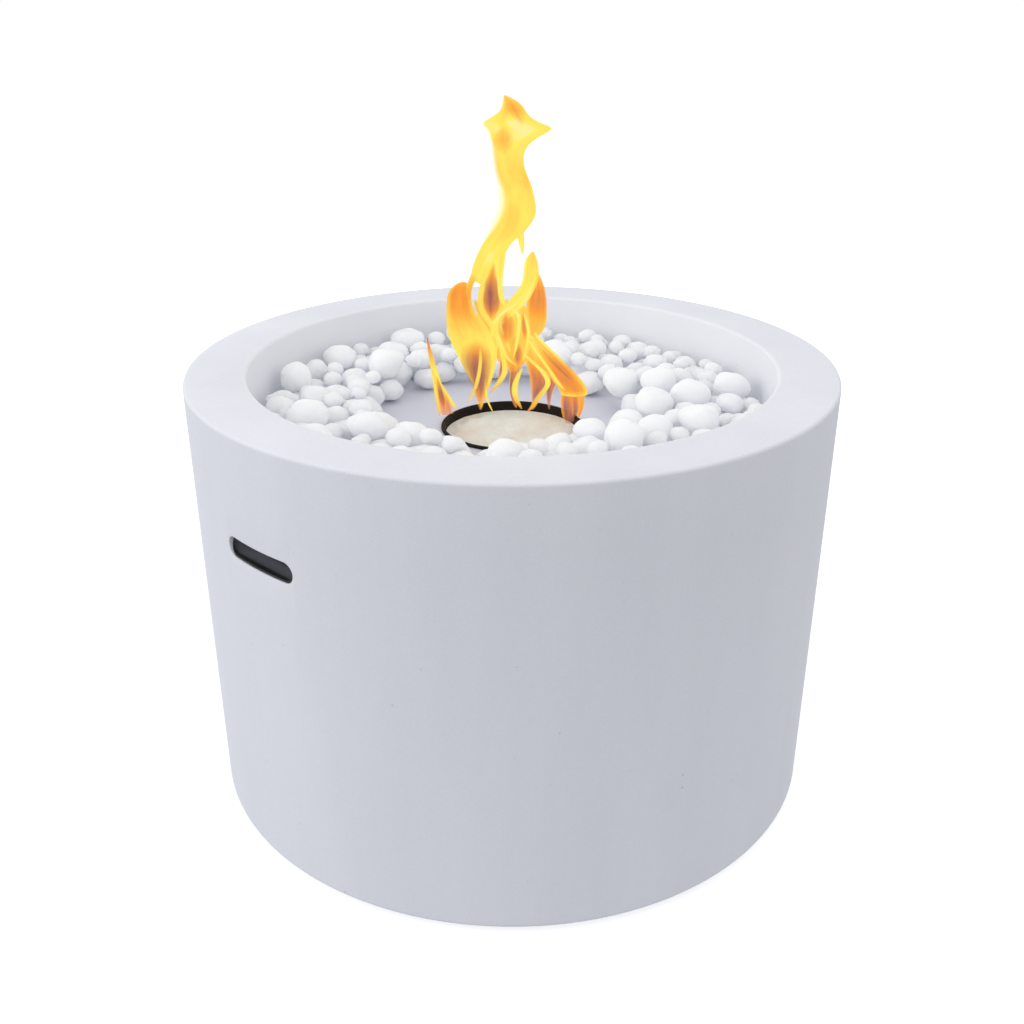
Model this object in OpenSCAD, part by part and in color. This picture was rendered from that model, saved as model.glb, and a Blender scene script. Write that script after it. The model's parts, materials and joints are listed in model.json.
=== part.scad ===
// Tabletop bioethanol fireplace: a round cast drum with a recess in its top, a burner pan that
// lifts out of the recess, a burner that lifts out of the pan, and white stones around the burner.
// The origin is the middle of the footprint, on the table. The hand slots lie on the X axis.

/* [Drum] */
// Outside diameter across the rim
drum_d = 450; // [420:1:500]
// Outside diameter at the foot of the wall
foot_wall_d = 448; // [430:1:500]
// Height of the cast shell
drum_h = 309; // [250:1:360]
// Thickness of the outside wall
wall_t = 12; // [9:0.5:15]
// Thickness of the rim's top
rim_t = 12; // [8:0.5:16]
// Inside diameter of the recess at the rim
recess_d = 367; // [345:1:375]
// How much the recess narrows from the rim to the ledge, on the diameter
recess_taper = 4; // [1:0.5:8]
// Thickness of the wall round the recess
recess_wall_t = 9; // [6:0.5:11]
// Width of the ledge that carries the pan
ledge_w = 20; // [15:0.5:30]
// Thickness of the ledge
ledge_t = 12; // [8:0.5:16]
// Radius on the two edges of the rim
rim_edge_r = 2; // [0.5:0.5:4]
// Radius on the bottom edge of the wall
foot_edge_r = 4; // [1:0.5:5]

/* [Hand slots] */
// Length of a hand slot along the wall
slot_l = 64; // [50:1:80]
// Height of a hand slot
slot_h = 14; // [11:0.5:18]
// Depth from the rim to the middle of the slots
slot_drop = 76; // [60:1:110]
// How far the liner stops behind the outside face, at the top of the slot
liner_inset = 4; // [2:0.5:7]
// How far the liner's lower edge stops behind the outside face
liner_lip = 1; // [0.5:0.1:2]
// Wall thickness of the moulded liner
liner_t = 1.2; // [0.8:0.1:2]
// Height of the finger room above the slot
finger_rise = 14; // [6:1:18]
// Spare width of the finger room at each end of the slot
finger_spare = 4; // [2:0.5:8]
// Width of the bonding flange round the liner
bond_w = 8; // [4:0.5:12]
// Thickness of the bonding flange
bond_t = 2; // [1.2:0.1:3]

/* [Base] */
// Gap between the table and the edge of the drum
foot_gap = 3; // [2:0.5:6]
// Depth of the base panel inside the edge of the drum
panel_inset = 6; // [5:0.5:12]
// Thickness of the base panel
panel_t = 8; // [6:0.5:12]
// Width of the flange that the panel is screwed to
flange_w = 30; // [24:1:40]
// Thickness of that flange
flange_t = 16; // [15:0.5:24]
// Thread diameter of the panel screws
screw_d = 5; // [4:0.5:6]
// Length of the panel screws under the head
screw_l = 18; // [14:1:22]
// Number of panel screws
screw_count = 6; // [4:1:8]
// Outside diameter of the threaded inserts
insert_d = 9; // [8:0.5:12]
// Length of the threaded inserts
insert_l = 13; // [10:0.5:14]

/* [Feet] */
// Diameter of a rubber foot where it meets the panel
foot_d = 38; // [30:1:46]
// How much a foot narrows to the table, on the diameter
foot_taper = 4; // [1:0.5:8]
// Diameter of the circle that the feet stand on
foot_circle_d = 330; // [280:1:340]
// Thread diameter of the foot screws
foot_screw_d = 4; // [3:0.5:5]
// Thickness of rubber above the head of a foot screw
foot_web_t = 4.5; // [3:0.5:6]
// Length of the foot screws in the panel
foot_screw_grip = 6; // [4:0.5:7]

/* [Burner pan] */
// Depth from the rim to the top face of the pan
pan_drop = 50; // [44:1:62]
// Thickness of the pan's sheet steel
pan_t = 2; // [1.5:0.1:3]
// Height of the pan's upturned edge
pan_lip_h = 8; // [4:0.5:14]
// Thickness of the gasket under the pan
gasket_t = 3; // [2:0.5:5]
// Width of the gasket
gasket_w = 14; // [8:0.5:16]

/* [Burner] */
// Outside diameter of the burner cup's wall
cup_d = 98.4; // [80:0.2:110]
// Sheet thickness of the burner cup
cup_t = 0.8; // [0.6:0.1:1.2]
// Depth of the burner cup below the pan
cup_depth = 70; // [50:1:90]
// How far the cup's rolled rim reaches out past its wall
hem_w = 1.9; // [1.6:0.1:3]
// Height of the rolled rim above the pan
hem_h = 2.2; // [1.6:0.1:4]
// Depth from the rolled rim to the top of the ceramic wool
wool_drop = 6.6; // [4:0.2:12]
// Sheet thickness of the drip well
well_t = 1; // [0.8:0.1:1.6]
// Free depth in the drip well under the cup
well_sump = 10; // [5:1:20]
// Width of the drip well's flange under the pan
well_flange_w = 10; // [6:0.5:16]
// Height of the flame above the wool
flame_h = 230; // [150:1:280]

/* [Stones] */
// Diameter of the smallest stones
stone_min = 19; // [16:0.5:23]
// Diameter of the largest stones
stone_max = 29; // [25:0.5:33]
// Height of a stone as a share of its diameter
stone_squash = 0.78; // [0.65:0.01:0.9]
// Number of stones
stone_count = 130; // [80:1:160]
// Diameter of the bare patch round the burner
bare_d = 160; // [144:1:190]
// Sideways shift of the bare patch
bare_x = 2; // [-10:1:10]
// Shift of the bare patch to the back
bare_y = 18; // [0:1:18]

/* [Fits] */
// Radial gap between the pan and the recess wall
pan_clear = 1.5; // [0.5:0.1:2.5]
// Radial gap between the cup and the pan's hole
cup_clear = 0.6; // [0.3:0.1:1]
// Radial gap between the cup and the drip well
well_clear = 1.4; // [0.8:0.1:2.5]
// Radial gap between the wool and the cup
wool_clear = 0.2; // [0.1:0.1:0.6]
// Gap round the base panel
panel_clear = 0.8; // [0.4:0.1:1.5]
// Gap round the liner in the slot
liner_clear = 0.3; // [0.1:0.1:0.6]
// Thickness of the adhesive behind the liner's flange
bond_gap = 0.2; // [0.1:0.1:0.5]
// Gap behind the liner's back wall
liner_back_gap = 1.5; // [0.8:0.1:3]
// Gap between a screw and its threads
thread_clear = 0.05; // [0.02:0.01:0.1]
// Gap between a screw and its clearance hole
hole_clear = 0.3; // [0.2:0.1:0.6]
// Gap between stones that touch
stone_gap = 0.2; // [0.1:0.1:0.5]

/* [Hidden] */
$fn = 96;
over = 1;                                    // how far a cut runs past the face it opens

drum_r = drum_d / 2;
foot_wall_r = foot_wall_d / 2;
outer_r = max(drum_r, foot_wall_r);
rim_z = foot_gap + drum_h;
recess_r = recess_d / 2;
ledge_r = recess_r - recess_taper / 2;       // radius of the recess just above the ledge
ledge_hole_r = ledge_r - ledge_w;
recess_back_r = recess_r + recess_wall_t;    // hidden side of the recess wall

pan_z = rim_z - pan_drop;                    // top face of the pan
pan_r = ledge_r - pan_clear;
gasket_z = pan_z - pan_t - gasket_t;
ledge_z = gasket_z;

panel_z = foot_gap + panel_inset;
flange_z = panel_z + panel_t;
panel_r = foot_wall_r - wall_t - panel_clear;
flange_hole_r = foot_wall_r - wall_t - flange_w;
screw_circle_r = foot_wall_r - wall_t - flange_w / 2;
screw_head_d = 1.8 * screw_d;
screw_head_h = 0.6 * screw_d;
foot_screw_head_d = 1.9 * foot_screw_d;
foot_screw_head_h = 0.6 * foot_screw_d;
foot_h = panel_z;
foot_angles = [45, 135, 225, 315];

slot_z = rim_z - slot_drop;
finger_w = slot_l + 2 * finger_spare;
finger_z = slot_z - slot_h / 2;              // floor of the finger room
finger_top_z = slot_z + slot_h / 2 + finger_rise;
bond_inset = wall_t + bond_gap;              // depth of the bonded face behind the outside face
finger_x = recess_back_r + liner_back_gap + liner_t;

cup_r = cup_d / 2;
mouth_r = cup_r - cup_t;
hem_r = cup_r + hem_w;
hem_z = pan_z + hem_h;
pan_hole_r = cup_r + cup_clear;
cup_z = pan_z - cup_depth;
wool_z = hem_z - wool_drop;                  // top of the wool
well_r = cup_r + well_clear;                 // inside of the drip well
well_z = cup_z - well_sump - well_t;
well_top_z = pan_z - pan_t;

stone_room_r = pan_r - pan_t - stone_gap;    // the stones lie inside the pan's upturned edge
stone_tries = 150;                           // places tried for each stone
stone_seed = 20;
sector_step = 137.5;                         // turn from one stone's sector to the next
sector_half = 14;

// The flame is turned to face the left front, between the X axis and the Y axis.
flame_turn = -46.8;
flame_sides = 10;
flame_steps = 3;
flame_lift = 0.1;
// Each tongue is a list of sections: sideways, forward, height, half width, half depth.
// Heights are percent of flame_h, the others percent of the radius of the cup's mouth.
tall_tongue = [
    [-37, -12, 0, 9, 8],
    [-42, -12, 6, 13, 10],
    [-53, -14, 14, 18, 14],
    [-58, -16, 24, 30, 20],
    [-58, -16, 33, 33, 22],
    [-54, -14, 41, 32, 22],
    [-44, -10, 48, 27, 21],
    [-26, -6, 55, 25, 20],
    [-8, -3, 63, 29, 21],
    [4, 0, 69, 32, 22],
    [0, 2, 78, 25, 20],
    [-4, 3, 87, 25, 19],
    [1, 2, 92, 36, 17],
    [-8, 1, 95, 20, 13],
    [-10, 0, 100, 2, 2]
];
right_tongue = [
    [18, 4, 0, 9, 8],
    [16, 6, 10, 14, 11],
    [17, 8, 21, 22, 16],
    [23, 8, 31, 27, 18],
    [26, 6, 42, 25, 18],
    [29, 4, 50, 16, 13],
    [28, 4, 56, 2, 2]
];
low_tongue = [
    [78, 0, 0, 8, 8],
    [88, 4, 8, 12, 10],
    [92, 6, 15, 15, 12],
    [76, 8, 21, 11, 10],
    [58, 8, 27, 2, 2]
];
thin_tongue = [
    [-82, 6, 0, 8, 7],
    [-97, 6, 10, 8, 7],
    [-110, 4, 20, 5, 5],
    [-122, 2, 31, 1.5, 1.5]
];

// Radius of the outside wall at a height
function wall_r(z) =
    let (low = foot_gap + foot_edge_r, high = rim_z - rim_edge_r)
    foot_wall_r + (drum_r - foot_wall_r) * (z - low) / (high - low);

// Corner of an outline that is cut away outside its round edge
module corner_cut(x, z, r, side_x, side_z) {
    reach = r + over;
    translate([x - side_x * r, z - side_z * r])
    difference() {
        translate([side_x < 0 ? -reach : 0, side_z < 0 ? -reach : 0])
        square(reach);
        circle(r);
    }
}

module ring(r_out, r_in, h) {
    difference() {
        cylinder(r = r_out, h = h);
        translate([0, 0, -over])
        cylinder(r = r_in, h = h + 2 * over);
    }
}

// A slot with round ends that runs out along X
module slot_bar(l, h, x_from, x_to) {
    translate([x_from, 0, slot_z])
    rotate([0, 90, 0])
    linear_extrude(x_to - x_from) {
        square([h, l - h], center = true);
        for (side = [-1, 1])
        translate([0, side * (l - h) / 2])
        circle(d = h);
    }
}

// Cast shell: wall, rim, recess, ledge and the flange for the base panel
module shell_outline() {
    under_rim_z = rim_z - rim_t;
    flange_top_z = flange_z + flange_t;
    difference() {
        polygon([
            [foot_wall_r, foot_gap],
            [foot_wall_r, foot_gap + foot_edge_r],
            [drum_r, rim_z - rim_edge_r],
            [drum_r, rim_z],
            [recess_r, rim_z],
            [recess_r, rim_z - rim_edge_r],
            [ledge_r, ledge_z],
            [ledge_hole_r, ledge_z],
            [ledge_hole_r, ledge_z - ledge_t],
            [recess_back_r, ledge_z - ledge_t],
            [recess_back_r, under_rim_z],
            [wall_r(under_rim_z) - wall_t, under_rim_z],
            [wall_r(flange_top_z) - wall_t, flange_top_z],
            [flange_hole_r, flange_top_z],
            [flange_hole_r, flange_z],
            [foot_wall_r - wall_t, flange_z],
            [foot_wall_r - wall_t, foot_gap]
        ]);
        corner_cut(drum_r, rim_z, rim_edge_r, 1, 1);
        corner_cut(recess_r, rim_z, rim_edge_r, -1, 1);
        corner_cut(foot_wall_r, foot_gap, foot_edge_r, 1, -1);
    }
}

module drum_shell() {
    color([0.82, 0.83, 0.86])
    difference() {
        rotate_extrude()
        shell_outline();
        for (side = [0, 180])
        rotate([0, 0, side])
        slot_bar(slot_l, slot_h, recess_back_r + over, outer_r + over);
        at_screws()
        translate([0, 0, flange_z - over])
        cylinder(d = insert_d + 2 * thread_clear, h = insert_l + 2 * over);
    }
}

module at_screws() {
    for (n = [0:screw_count - 1])
    rotate([0, 0, (n + 0.5) * 360 / screw_count])
    translate([screw_circle_r, 0, 0])
    children();
}

module at_foot(n) {
    rotate([0, 0, foot_angles[n]])
    translate([foot_circle_d / 2, 0, 0])
    children();
}

module base_panel() {
    color([0.55, 0.55, 0.56])
    translate([0, 0, panel_z])
    difference() {
        cylinder(r = panel_r, h = panel_t);
        at_screws()
        translate([0, 0, -over])
        cylinder(d = screw_d + 2 * hole_clear, h = panel_t + 2 * over);
        for (n = [0:3])
        at_foot(n)
        translate([0, 0, -over])
        cylinder(d = foot_screw_d + 2 * thread_clear, h = panel_t + 2 * over);
    }
}

module base_inserts() {
    color("goldenrod")
    at_screws()
    translate([0, 0, flange_z])
    ring(insert_d / 2, screw_d / 2 + thread_clear, insert_l);
}

// Screw with a round head and a hexagon socket, head down at z = 0
module socket_screw(d, length, head_d, head_h) {
    difference() {
        union() {
            translate([0, 0, -head_h])
            cylinder(d = head_d, h = head_h);
            cylinder(d = d, h = length);
        }
        translate([0, 0, -head_h - over])
        cylinder(d = d * 0.7, h = head_h * 0.6 + over, $fn = 6);
    }
}

module base_screws() {
    color("silver")
    at_screws()
    translate([0, 0, panel_z])
    socket_screw(screw_d, screw_l, screw_head_d, screw_head_h);
}

module rubber_foot(n) {
    color([0.1, 0.1, 0.1])
    at_foot(n)
    difference() {
        cylinder(d1 = foot_d - foot_taper, d2 = foot_d, h = foot_h);
        translate([0, 0, -over])
        cylinder(d = foot_screw_d + 2 * hole_clear, h = foot_h + 2 * over);
        translate([0, 0, -over])
        cylinder(d = foot_screw_head_d + 2 * hole_clear, h = foot_h - foot_web_t + over);
    }
}

module foot_screws() {
    color("silver")
    for (n = [0:3])
    at_foot(n)
    translate([0, 0, foot_h - foot_web_t])
    socket_screw(foot_screw_d, foot_web_t + foot_screw_grip, foot_screw_head_d, foot_screw_head_h);
}

// Everything inside the outside wall by more than a depth
module inside_wall(depth) {
    cylinder(r1 = wall_r(0) - depth, r2 = wall_r(rim_z) - depth, h = rim_z);
}

// Everything behind a face across the slots that slants from one depth at their foot to another at their top
module behind_slot_face(depth_low, depth_high) {
    low_z = slot_z - slot_h / 2;
    high_z = slot_z + slot_h / 2;
    translate([0, 0, low_z])
    cylinder(r1 = wall_r(low_z) - depth_low, r2 = wall_r(high_z) - depth_high, h = slot_h);
}

// Block across the finger room, from x_from out to the wall
module finger_block(x_from, spare) {
    translate([x_from, -finger_w / 2 - spare, finger_z - spare])
    cube([outer_r - x_from, finger_w + 2 * spare, finger_top_z - finger_z + 2 * spare]);
}

// Moulded liner: a bonded flange, a finger room behind the wall and a sleeve in the slot, cut at a slant
module grip_liner() {
    sleeve_l = slot_l - 2 * liner_clear;
    sleeve_h = slot_h - 2 * liner_clear;
    color([0.16, 0.16, 0.18])
    difference() {
        union() {
            intersection() {
                inside_wall(bond_inset);
                union() {
                    finger_block(finger_x - liner_t, liner_t);
                    difference() {
                        finger_block(finger_x, liner_t + bond_w);
                        inside_wall(bond_inset + bond_t);
                    }
                }
            }
            intersection() {
                behind_slot_face(liner_lip, liner_inset);
                slot_bar(sleeve_l, sleeve_h, finger_x, outer_r);
            }
        }
        intersection() {
            inside_wall(bond_inset + bond_t);
            finger_block(finger_x, 0);
        }
        slot_bar(sleeve_l - 2 * liner_t, sleeve_h - 2 * liner_t, finger_x + over, outer_r + over);
    }
}

module grip_liner_right() {
    grip_liner();
}

module grip_liner_left() {
    rotate([0, 0, 180])
    grip_liner();
}

module ledge_gasket() {
    color([0.75, 0.73, 0.68])
    translate([0, 0, gasket_z])
    ring(pan_r, pan_r - gasket_w, gasket_t);
}

module burner_pan() {
    color([0.72, 0.72, 0.75])
    translate([0, 0, pan_z - pan_t]) {
        ring(pan_r, pan_hole_r, pan_t);
        ring(pan_r, pan_r - pan_t, pan_t + pan_lip_h);
    }
}

// Safety cup under the pan that catches spilled fuel
module drip_well() {
    color([0.6, 0.6, 0.62])
    difference() {
        union() {
            translate([0, 0, well_z])
            cylinder(r = well_r + well_t, h = well_top_z - well_z);
            translate([0, 0, well_top_z - well_t])
            cylinder(r = well_r + well_t + well_flange_w, h = well_t);
        }
        translate([0, 0, well_z + well_t])
        cylinder(r = well_r, h = well_top_z - well_z);
    }
}

// Drawn cup whose rolled rim hangs on the pan
module burner_cup() {
    hem_top_r = hem_h / 2;
    color([0.05, 0.05, 0.05])
    rotate_extrude()
    difference() {
        union() {
            translate([0, cup_z])
            square([cup_r, hem_z - cup_z]);
            translate([mouth_r, pan_z])
            square([hem_r - mouth_r, hem_h]);
        }
        translate([0, cup_z + cup_t])
        square([mouth_r, hem_z - cup_z]);
        corner_cut(hem_r, hem_z, hem_top_r, 1, 1);
    }
}

module wool_core() {
    color([0.93, 0.9, 0.8])
    translate([0, 0, cup_z + cup_t])
    cylinder(r = mouth_r - wool_clear, h = wool_z - cup_z - cup_t);
}

// A place on a smooth curve through the rows, at t counted in rows
function row_at(rows, t) =
    let (
        last = len(rows) - 1,
        n = min(floor(t), last - 1),
        f = t - n,
        a = rows[max(n - 1, 0)],
        b = rows[n],
        c = rows[n + 1],
        d = rows[min(n + 2, last)]
    )
    b + f * (c - a) / 2 + f * f * (2 * a - 5 * b + 4 * c - d) / 2 + f * f * f * (3 * b - a - 3 * c + d) / 2;

module tongue(rows) {
    ring_count = (len(rows) - 1) * flame_steps + 1;
    across = mouth_r / 100;
    up = flame_h / 100;
    last = ring_count - 1;
    points = [
        for (n = [0:last])
        let (row = row_at(rows, n / flame_steps))
        for (k = [0:flame_sides - 1])
        let (turn = 360 * k / flame_sides)
        [
            across * (row[0] + row[3] * cos(turn)),
            across * (-row[1] + row[4] * sin(turn)),
            up * row[2]
        ]
    ];
    walls = [
        for (n = [0:last - 1], k = [0:flame_sides - 1])
        let (
            a = n * flame_sides + k,
            b = n * flame_sides + (k + 1) % flame_sides
        )
        each [[a, a + flame_sides, b], [b, a + flame_sides, b + flame_sides]]
    ];
    foot = [for (k = [1:flame_sides - 2]) [0, k, k + 1]];
    top = last * flame_sides;
    tip = [for (k = [1:flame_sides - 2]) [top, top + k + 1, top + k]];
    polyhedron(points, concat(walls, foot, tip));
}

// The flame that stands on the wool while the burner is lit
module flame() {
    color([1, 0.72, 0.15])
    translate([0, 0, wool_z + flame_lift])
    rotate([0, 0, flame_turn])
    for (rows = [tall_tongue, right_tongue, low_tongue, thin_tongue])
    tongue(rows);
}

// Stones are round seen from above and all squashed alike, so heights divided by stone_squash
// turn them into balls. They are dropped by turns all round the pan. Each ball tries a few
// random places in its sector and takes the lowest, on the pan or on the balls below it.
// A stone is [x, y, height of its middle, radius, on the pan].
function bare_reach(turn, r) =
    let (
        along = bare_x * cos(turn) + bare_y * sin(turn),
        room = bare_d / 2 + r
    )
    along + sqrt(along * along - bare_x * bare_x - bare_y * bare_y + room * room);

function rest_height(x, y, r, stones) =
    max([
        r + stone_gap,
        for (s = stones)
        let (
            reach = r + s[3] + stone_gap,
            gap = reach * reach - (x - s[0]) * (x - s[0]) - (y - s[1]) * (y - s[1])
        )
        if (gap > 0) s[2] + sqrt(gap)
    ]);

// The stones that a ball dropped in the sector round a turn can meet
function stones_near(turn, stones) =
    let (reach = stone_room_r * sin(sector_half) + stone_max + stone_gap)
    [for (s = stones) if (abs(s[1] * cos(turn) - s[0] * sin(turn)) < reach) s];

function place_stone(n, stones) =
    let (
        draw = rands(0, 1, 2 * stone_tries + 1, stone_seed + n),
        r = (stone_max - (stone_max - stone_min) * draw[0]) / 2,
        middle = sector_step * n,
        near_stones = stones_near(middle, stones),
        places = [
            for (k = [1:stone_tries])
            let (
                turn = middle + sector_half * (2 * draw[2 * k - 1] - 1),
                near = bare_reach(turn, r),
                far = stone_room_r - r,
                out = sqrt(near * near + (far * far - near * near) * draw[2 * k]),
                x = out * cos(turn),
                y = out * sin(turn)
            )
            [x, y, rest_height(x, y, r, near_stones), r]
        ],
        low = min([for (p = places) p[2]])
    )
    [for (p = places) if (p[2] == low) concat(p, [low <= r + stone_gap])][0];

function all_stones() = [
    for (n = 0, stones = []; n <= stone_count; stones = concat(stones, [place_stone(n, stones)]), n = n + 1)
    if (n == stone_count) each stones
];

// The stones of one quarter, counted from the X axis, that lie on the pan or on other stones
module stones_of(quarter, on_pan) {
    color([0.95, 0.95, 0.94])
    for (s = all_stones())
    if (s[4] == on_pan && floor((atan2(s[1], s[0]) + 360) % 360 / 90) == quarter)
    translate([s[0], s[1], pan_z + stone_squash * s[2]])
    scale([1, 1, stone_squash])
    sphere(r = s[3], $fn = 32);
}

module pebbles_lower_right_back() {
    stones_of(0, true);
}

module pebbles_lower_left_back() {
    stones_of(1, true);
}

module pebbles_lower_left_front() {
    stones_of(2, true);
}

module pebbles_lower_right_front() {
    stones_of(3, true);
}

module pebbles_upper_right_back() {
    stones_of(0, false);
}

module pebbles_upper_left_back() {
    stones_of(1, false);
}

module pebbles_upper_left_front() {
    stones_of(2, false);
}

module pebbles_upper_right_front() {
    stones_of(3, false);
}

drum_shell();
base_panel();
base_inserts();
base_screws();
rubber_foot(0);  // foot_1
rubber_foot(1);  // foot_2
rubber_foot(2);  // foot_3
rubber_foot(3);  // foot_4
foot_screws();
grip_liner_right();
grip_liner_left();
ledge_gasket();
burner_pan();
drip_well();
pebbles_lower_right_back();
pebbles_lower_left_back();
pebbles_lower_left_front();
pebbles_lower_right_front();
pebbles_upper_right_back();
pebbles_upper_left_back();
pebbles_upper_left_front();
pebbles_upper_right_front();
burner_cup();
wool_core();
flame();
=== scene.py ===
import json
import math
import random

import bpy
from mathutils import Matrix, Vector


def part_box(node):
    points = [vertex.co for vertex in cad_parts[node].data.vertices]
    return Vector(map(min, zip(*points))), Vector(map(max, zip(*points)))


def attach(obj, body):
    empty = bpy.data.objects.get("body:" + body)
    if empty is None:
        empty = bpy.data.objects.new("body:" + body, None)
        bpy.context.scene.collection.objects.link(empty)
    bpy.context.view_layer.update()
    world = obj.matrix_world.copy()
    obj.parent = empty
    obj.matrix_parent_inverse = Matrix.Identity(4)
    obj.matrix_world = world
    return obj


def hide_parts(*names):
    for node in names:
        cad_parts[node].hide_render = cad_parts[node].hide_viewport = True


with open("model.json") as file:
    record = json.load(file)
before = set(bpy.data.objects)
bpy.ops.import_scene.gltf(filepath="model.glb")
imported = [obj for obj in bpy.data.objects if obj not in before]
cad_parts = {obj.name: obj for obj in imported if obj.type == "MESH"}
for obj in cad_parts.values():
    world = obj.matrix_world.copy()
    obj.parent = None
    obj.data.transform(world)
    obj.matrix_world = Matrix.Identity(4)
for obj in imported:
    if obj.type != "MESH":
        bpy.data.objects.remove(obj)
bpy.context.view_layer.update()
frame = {"nodes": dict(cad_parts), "record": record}
cadNodes = frame["nodes"]
mm = 0.001
tiny = 0.00001           # points closer than this are one point
print("frame loaded with", len(cadNodes), "nodes")

# Camera, at the photograph's height and angle
shot = {
    "place": (-0.5682, -0.5335, 0.5474),
    "turn": -46.8,                       # degrees round the drum, seen from between -X and -Y
    "tilt": 65.61,
    "lens": 40.25,
}
turn = math.radians(shot["turn"])
sideways = Vector((math.cos(turn), math.sin(turn), 0))      # to the right in the photograph
towards = Vector((math.sin(turn), -math.cos(turn), 0))      # from the drum to the camera
bpy.ops.object.camera_add(location=shot["place"], rotation=(math.radians(shot["tilt"]), 0, turn))
camera = bpy.context.object
camera.data.lens = shot["lens"]
bpy.context.scene.camera = camera
bpy.context.scene.view_settings.view_transform = "Standard"
bpy.context.scene.cycles.transparent_max_bounces = 32       # the flame has many thin layers
bpy.context.scene.cycles.diffuse_bounces = 10               # light goes far between white stones


# Node helpers. A socket is linked, and anything else is set as the socket's value.
def wire(mat, node, sockets):
    for name, value in sockets.items():
        if isinstance(value, bpy.types.NodeSocket):
            mat.node_tree.links.new(value, node.inputs[name])
        else:
            node.inputs[name].default_value = value


def addNode(mat, kind, sockets, **settings):
    made = mat.node_tree.nodes.new(kind)
    for name, value in settings.items():
        setattr(made, name, value)
    wire(mat, made, sockets)
    return made


def maths(mat, operation, first, second=0.0, clamp=False):
    made = addNode(mat, "ShaderNodeMath", {0: first, 1: second}, operation=operation, use_clamp=clamp)
    return made.outputs[0]


def noise(mat, vector, scale, detail=3.0, roughness=0.5):
    sockets = {"Vector": vector, "Scale": scale, "Detail": detail, "Roughness": roughness}
    return addNode(mat, "ShaderNodeTexNoise", sockets).outputs["Fac"]


def cells(mat, vector, scale, output="Distance"):
    return addNode(mat, "ShaderNodeTexVoronoi", {"Vector": vector, "Scale": scale}).outputs[output]


def spread(mat, source, low, high, toLow=0.0, toHigh=1.0):
    sockets = {"Value": source, "From Min": low, "From Max": high, "To Min": toLow, "To Max": toHigh}
    return addNode(mat, "ShaderNodeMapRange", sockets).outputs["Result"]


def ramp(mat, source, stops):
    made = addNode(mat, "ShaderNodeValToRGB", {"Fac": source})
    elements = made.color_ramp.elements
    while len(elements) < len(stops):
        elements.new(0.5)
    for element, (place, colour) in zip(elements, stops):
        element.position = place
        element.color = (*colour, 1)
    return made.outputs["Color"]


def blendColour(mat, amount, first, second, way="MIX"):
    def solid(colour):
        return colour if isinstance(colour, bpy.types.NodeSocket) else (*colour, 1)

    sockets = {0: amount, 6: solid(first), 7: solid(second)}      # factor, first and second colour
    return addNode(mat, "ShaderNodeMix", sockets, data_type="RGBA", blend_type=way).outputs[2]


def bump(mat, height, distance, strength):
    sockets = {"Height": height, "Distance": distance, "Strength": strength}
    return addNode(mat, "ShaderNodeBump", sockets).outputs["Normal"]


def stretched(mat, vector, scale):
    return addNode(mat, "ShaderNodeMapping", {"Vector": vector, "Scale": scale}).outputs["Vector"]


def heightOf(mat, vector):
    return addNode(mat, "ShaderNodeSeparateXYZ", {"Vector": vector}).outputs["Z"]


def lengthOf(mat, vector):
    return addNode(mat, "ShaderNodeVectorMath", {0: vector}, operation="LENGTH").outputs["Value"]


def newFinish(name):
    mat = bpy.data.materials.new(name)
    mat.use_nodes = True
    place = addNode(mat, "ShaderNodeTexCoord", {}).outputs["Object"]
    return mat, mat.node_tree.nodes["Principled BSDF"], place


# Stage: a pale floor, a white surround and soft lamps
studio = {
    "ambient": 0.89,
    "floorSize": 9.0,
    "floorColour": (0.43, 0.44, 0.475),
    "floorLift": (0.72, 1.2),            # added where the floor is seen, near the drum and far from it
    "liftReach": (0.35, 1.3),
    "floorGlow": 0.135,                  # the floor round the drum lights its foot
    "glowReach": (0.24, 0.55),
    "aim": (0, 0, 0.22),
    "lamps": (                           # name, place sideways, towards the camera and up, size, watts
        ("lamp_left", (-1.83, 0.60, 1.1), 1.6, 10.5),
        ("lamp_over", (0.4, -0.2, 2.3), 2.0, 3),
    ),
}


def seenRay(mat):
    path = addNode(mat, "ShaderNodeLightPath", {})
    seen = maths(mat, "MAXIMUM", path.outputs["Is Camera Ray"], path.outputs["Is Glossy Ray"])
    return maths(mat, "MAXIMUM", seen, path.outputs["Is Transmission Ray"])


def softLamp(name, where, size, watts):
    place = where[0] * sideways + where[1] * towards + Vector((0, 0, where[2]))
    bpy.ops.object.light_add(type="AREA", location=place)
    lamp = bpy.context.object
    lamp.name = name
    lamp.data.shape = "DISK"
    lamp.data.size = size
    lamp.data.energy = watts
    lamp.rotation_euler = (Vector(studio["aim"]) - place).to_track_quat("-Z", "Y").to_euler()


world = bpy.data.worlds.new("studio_white")
bpy.context.scene.world = world
world.use_nodes = True
sky = world.node_tree.nodes["Background"]
sky.inputs["Color"].default_value = (1, 1, 1, 1)
skyStrength = maths(world, "MULTIPLY_ADD", seenRay(world), 1 - studio["ambient"])
skyStrength.node.inputs[2].default_value = studio["ambient"]
world.node_tree.links.new(skyStrength, sky.inputs["Strength"])

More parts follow.
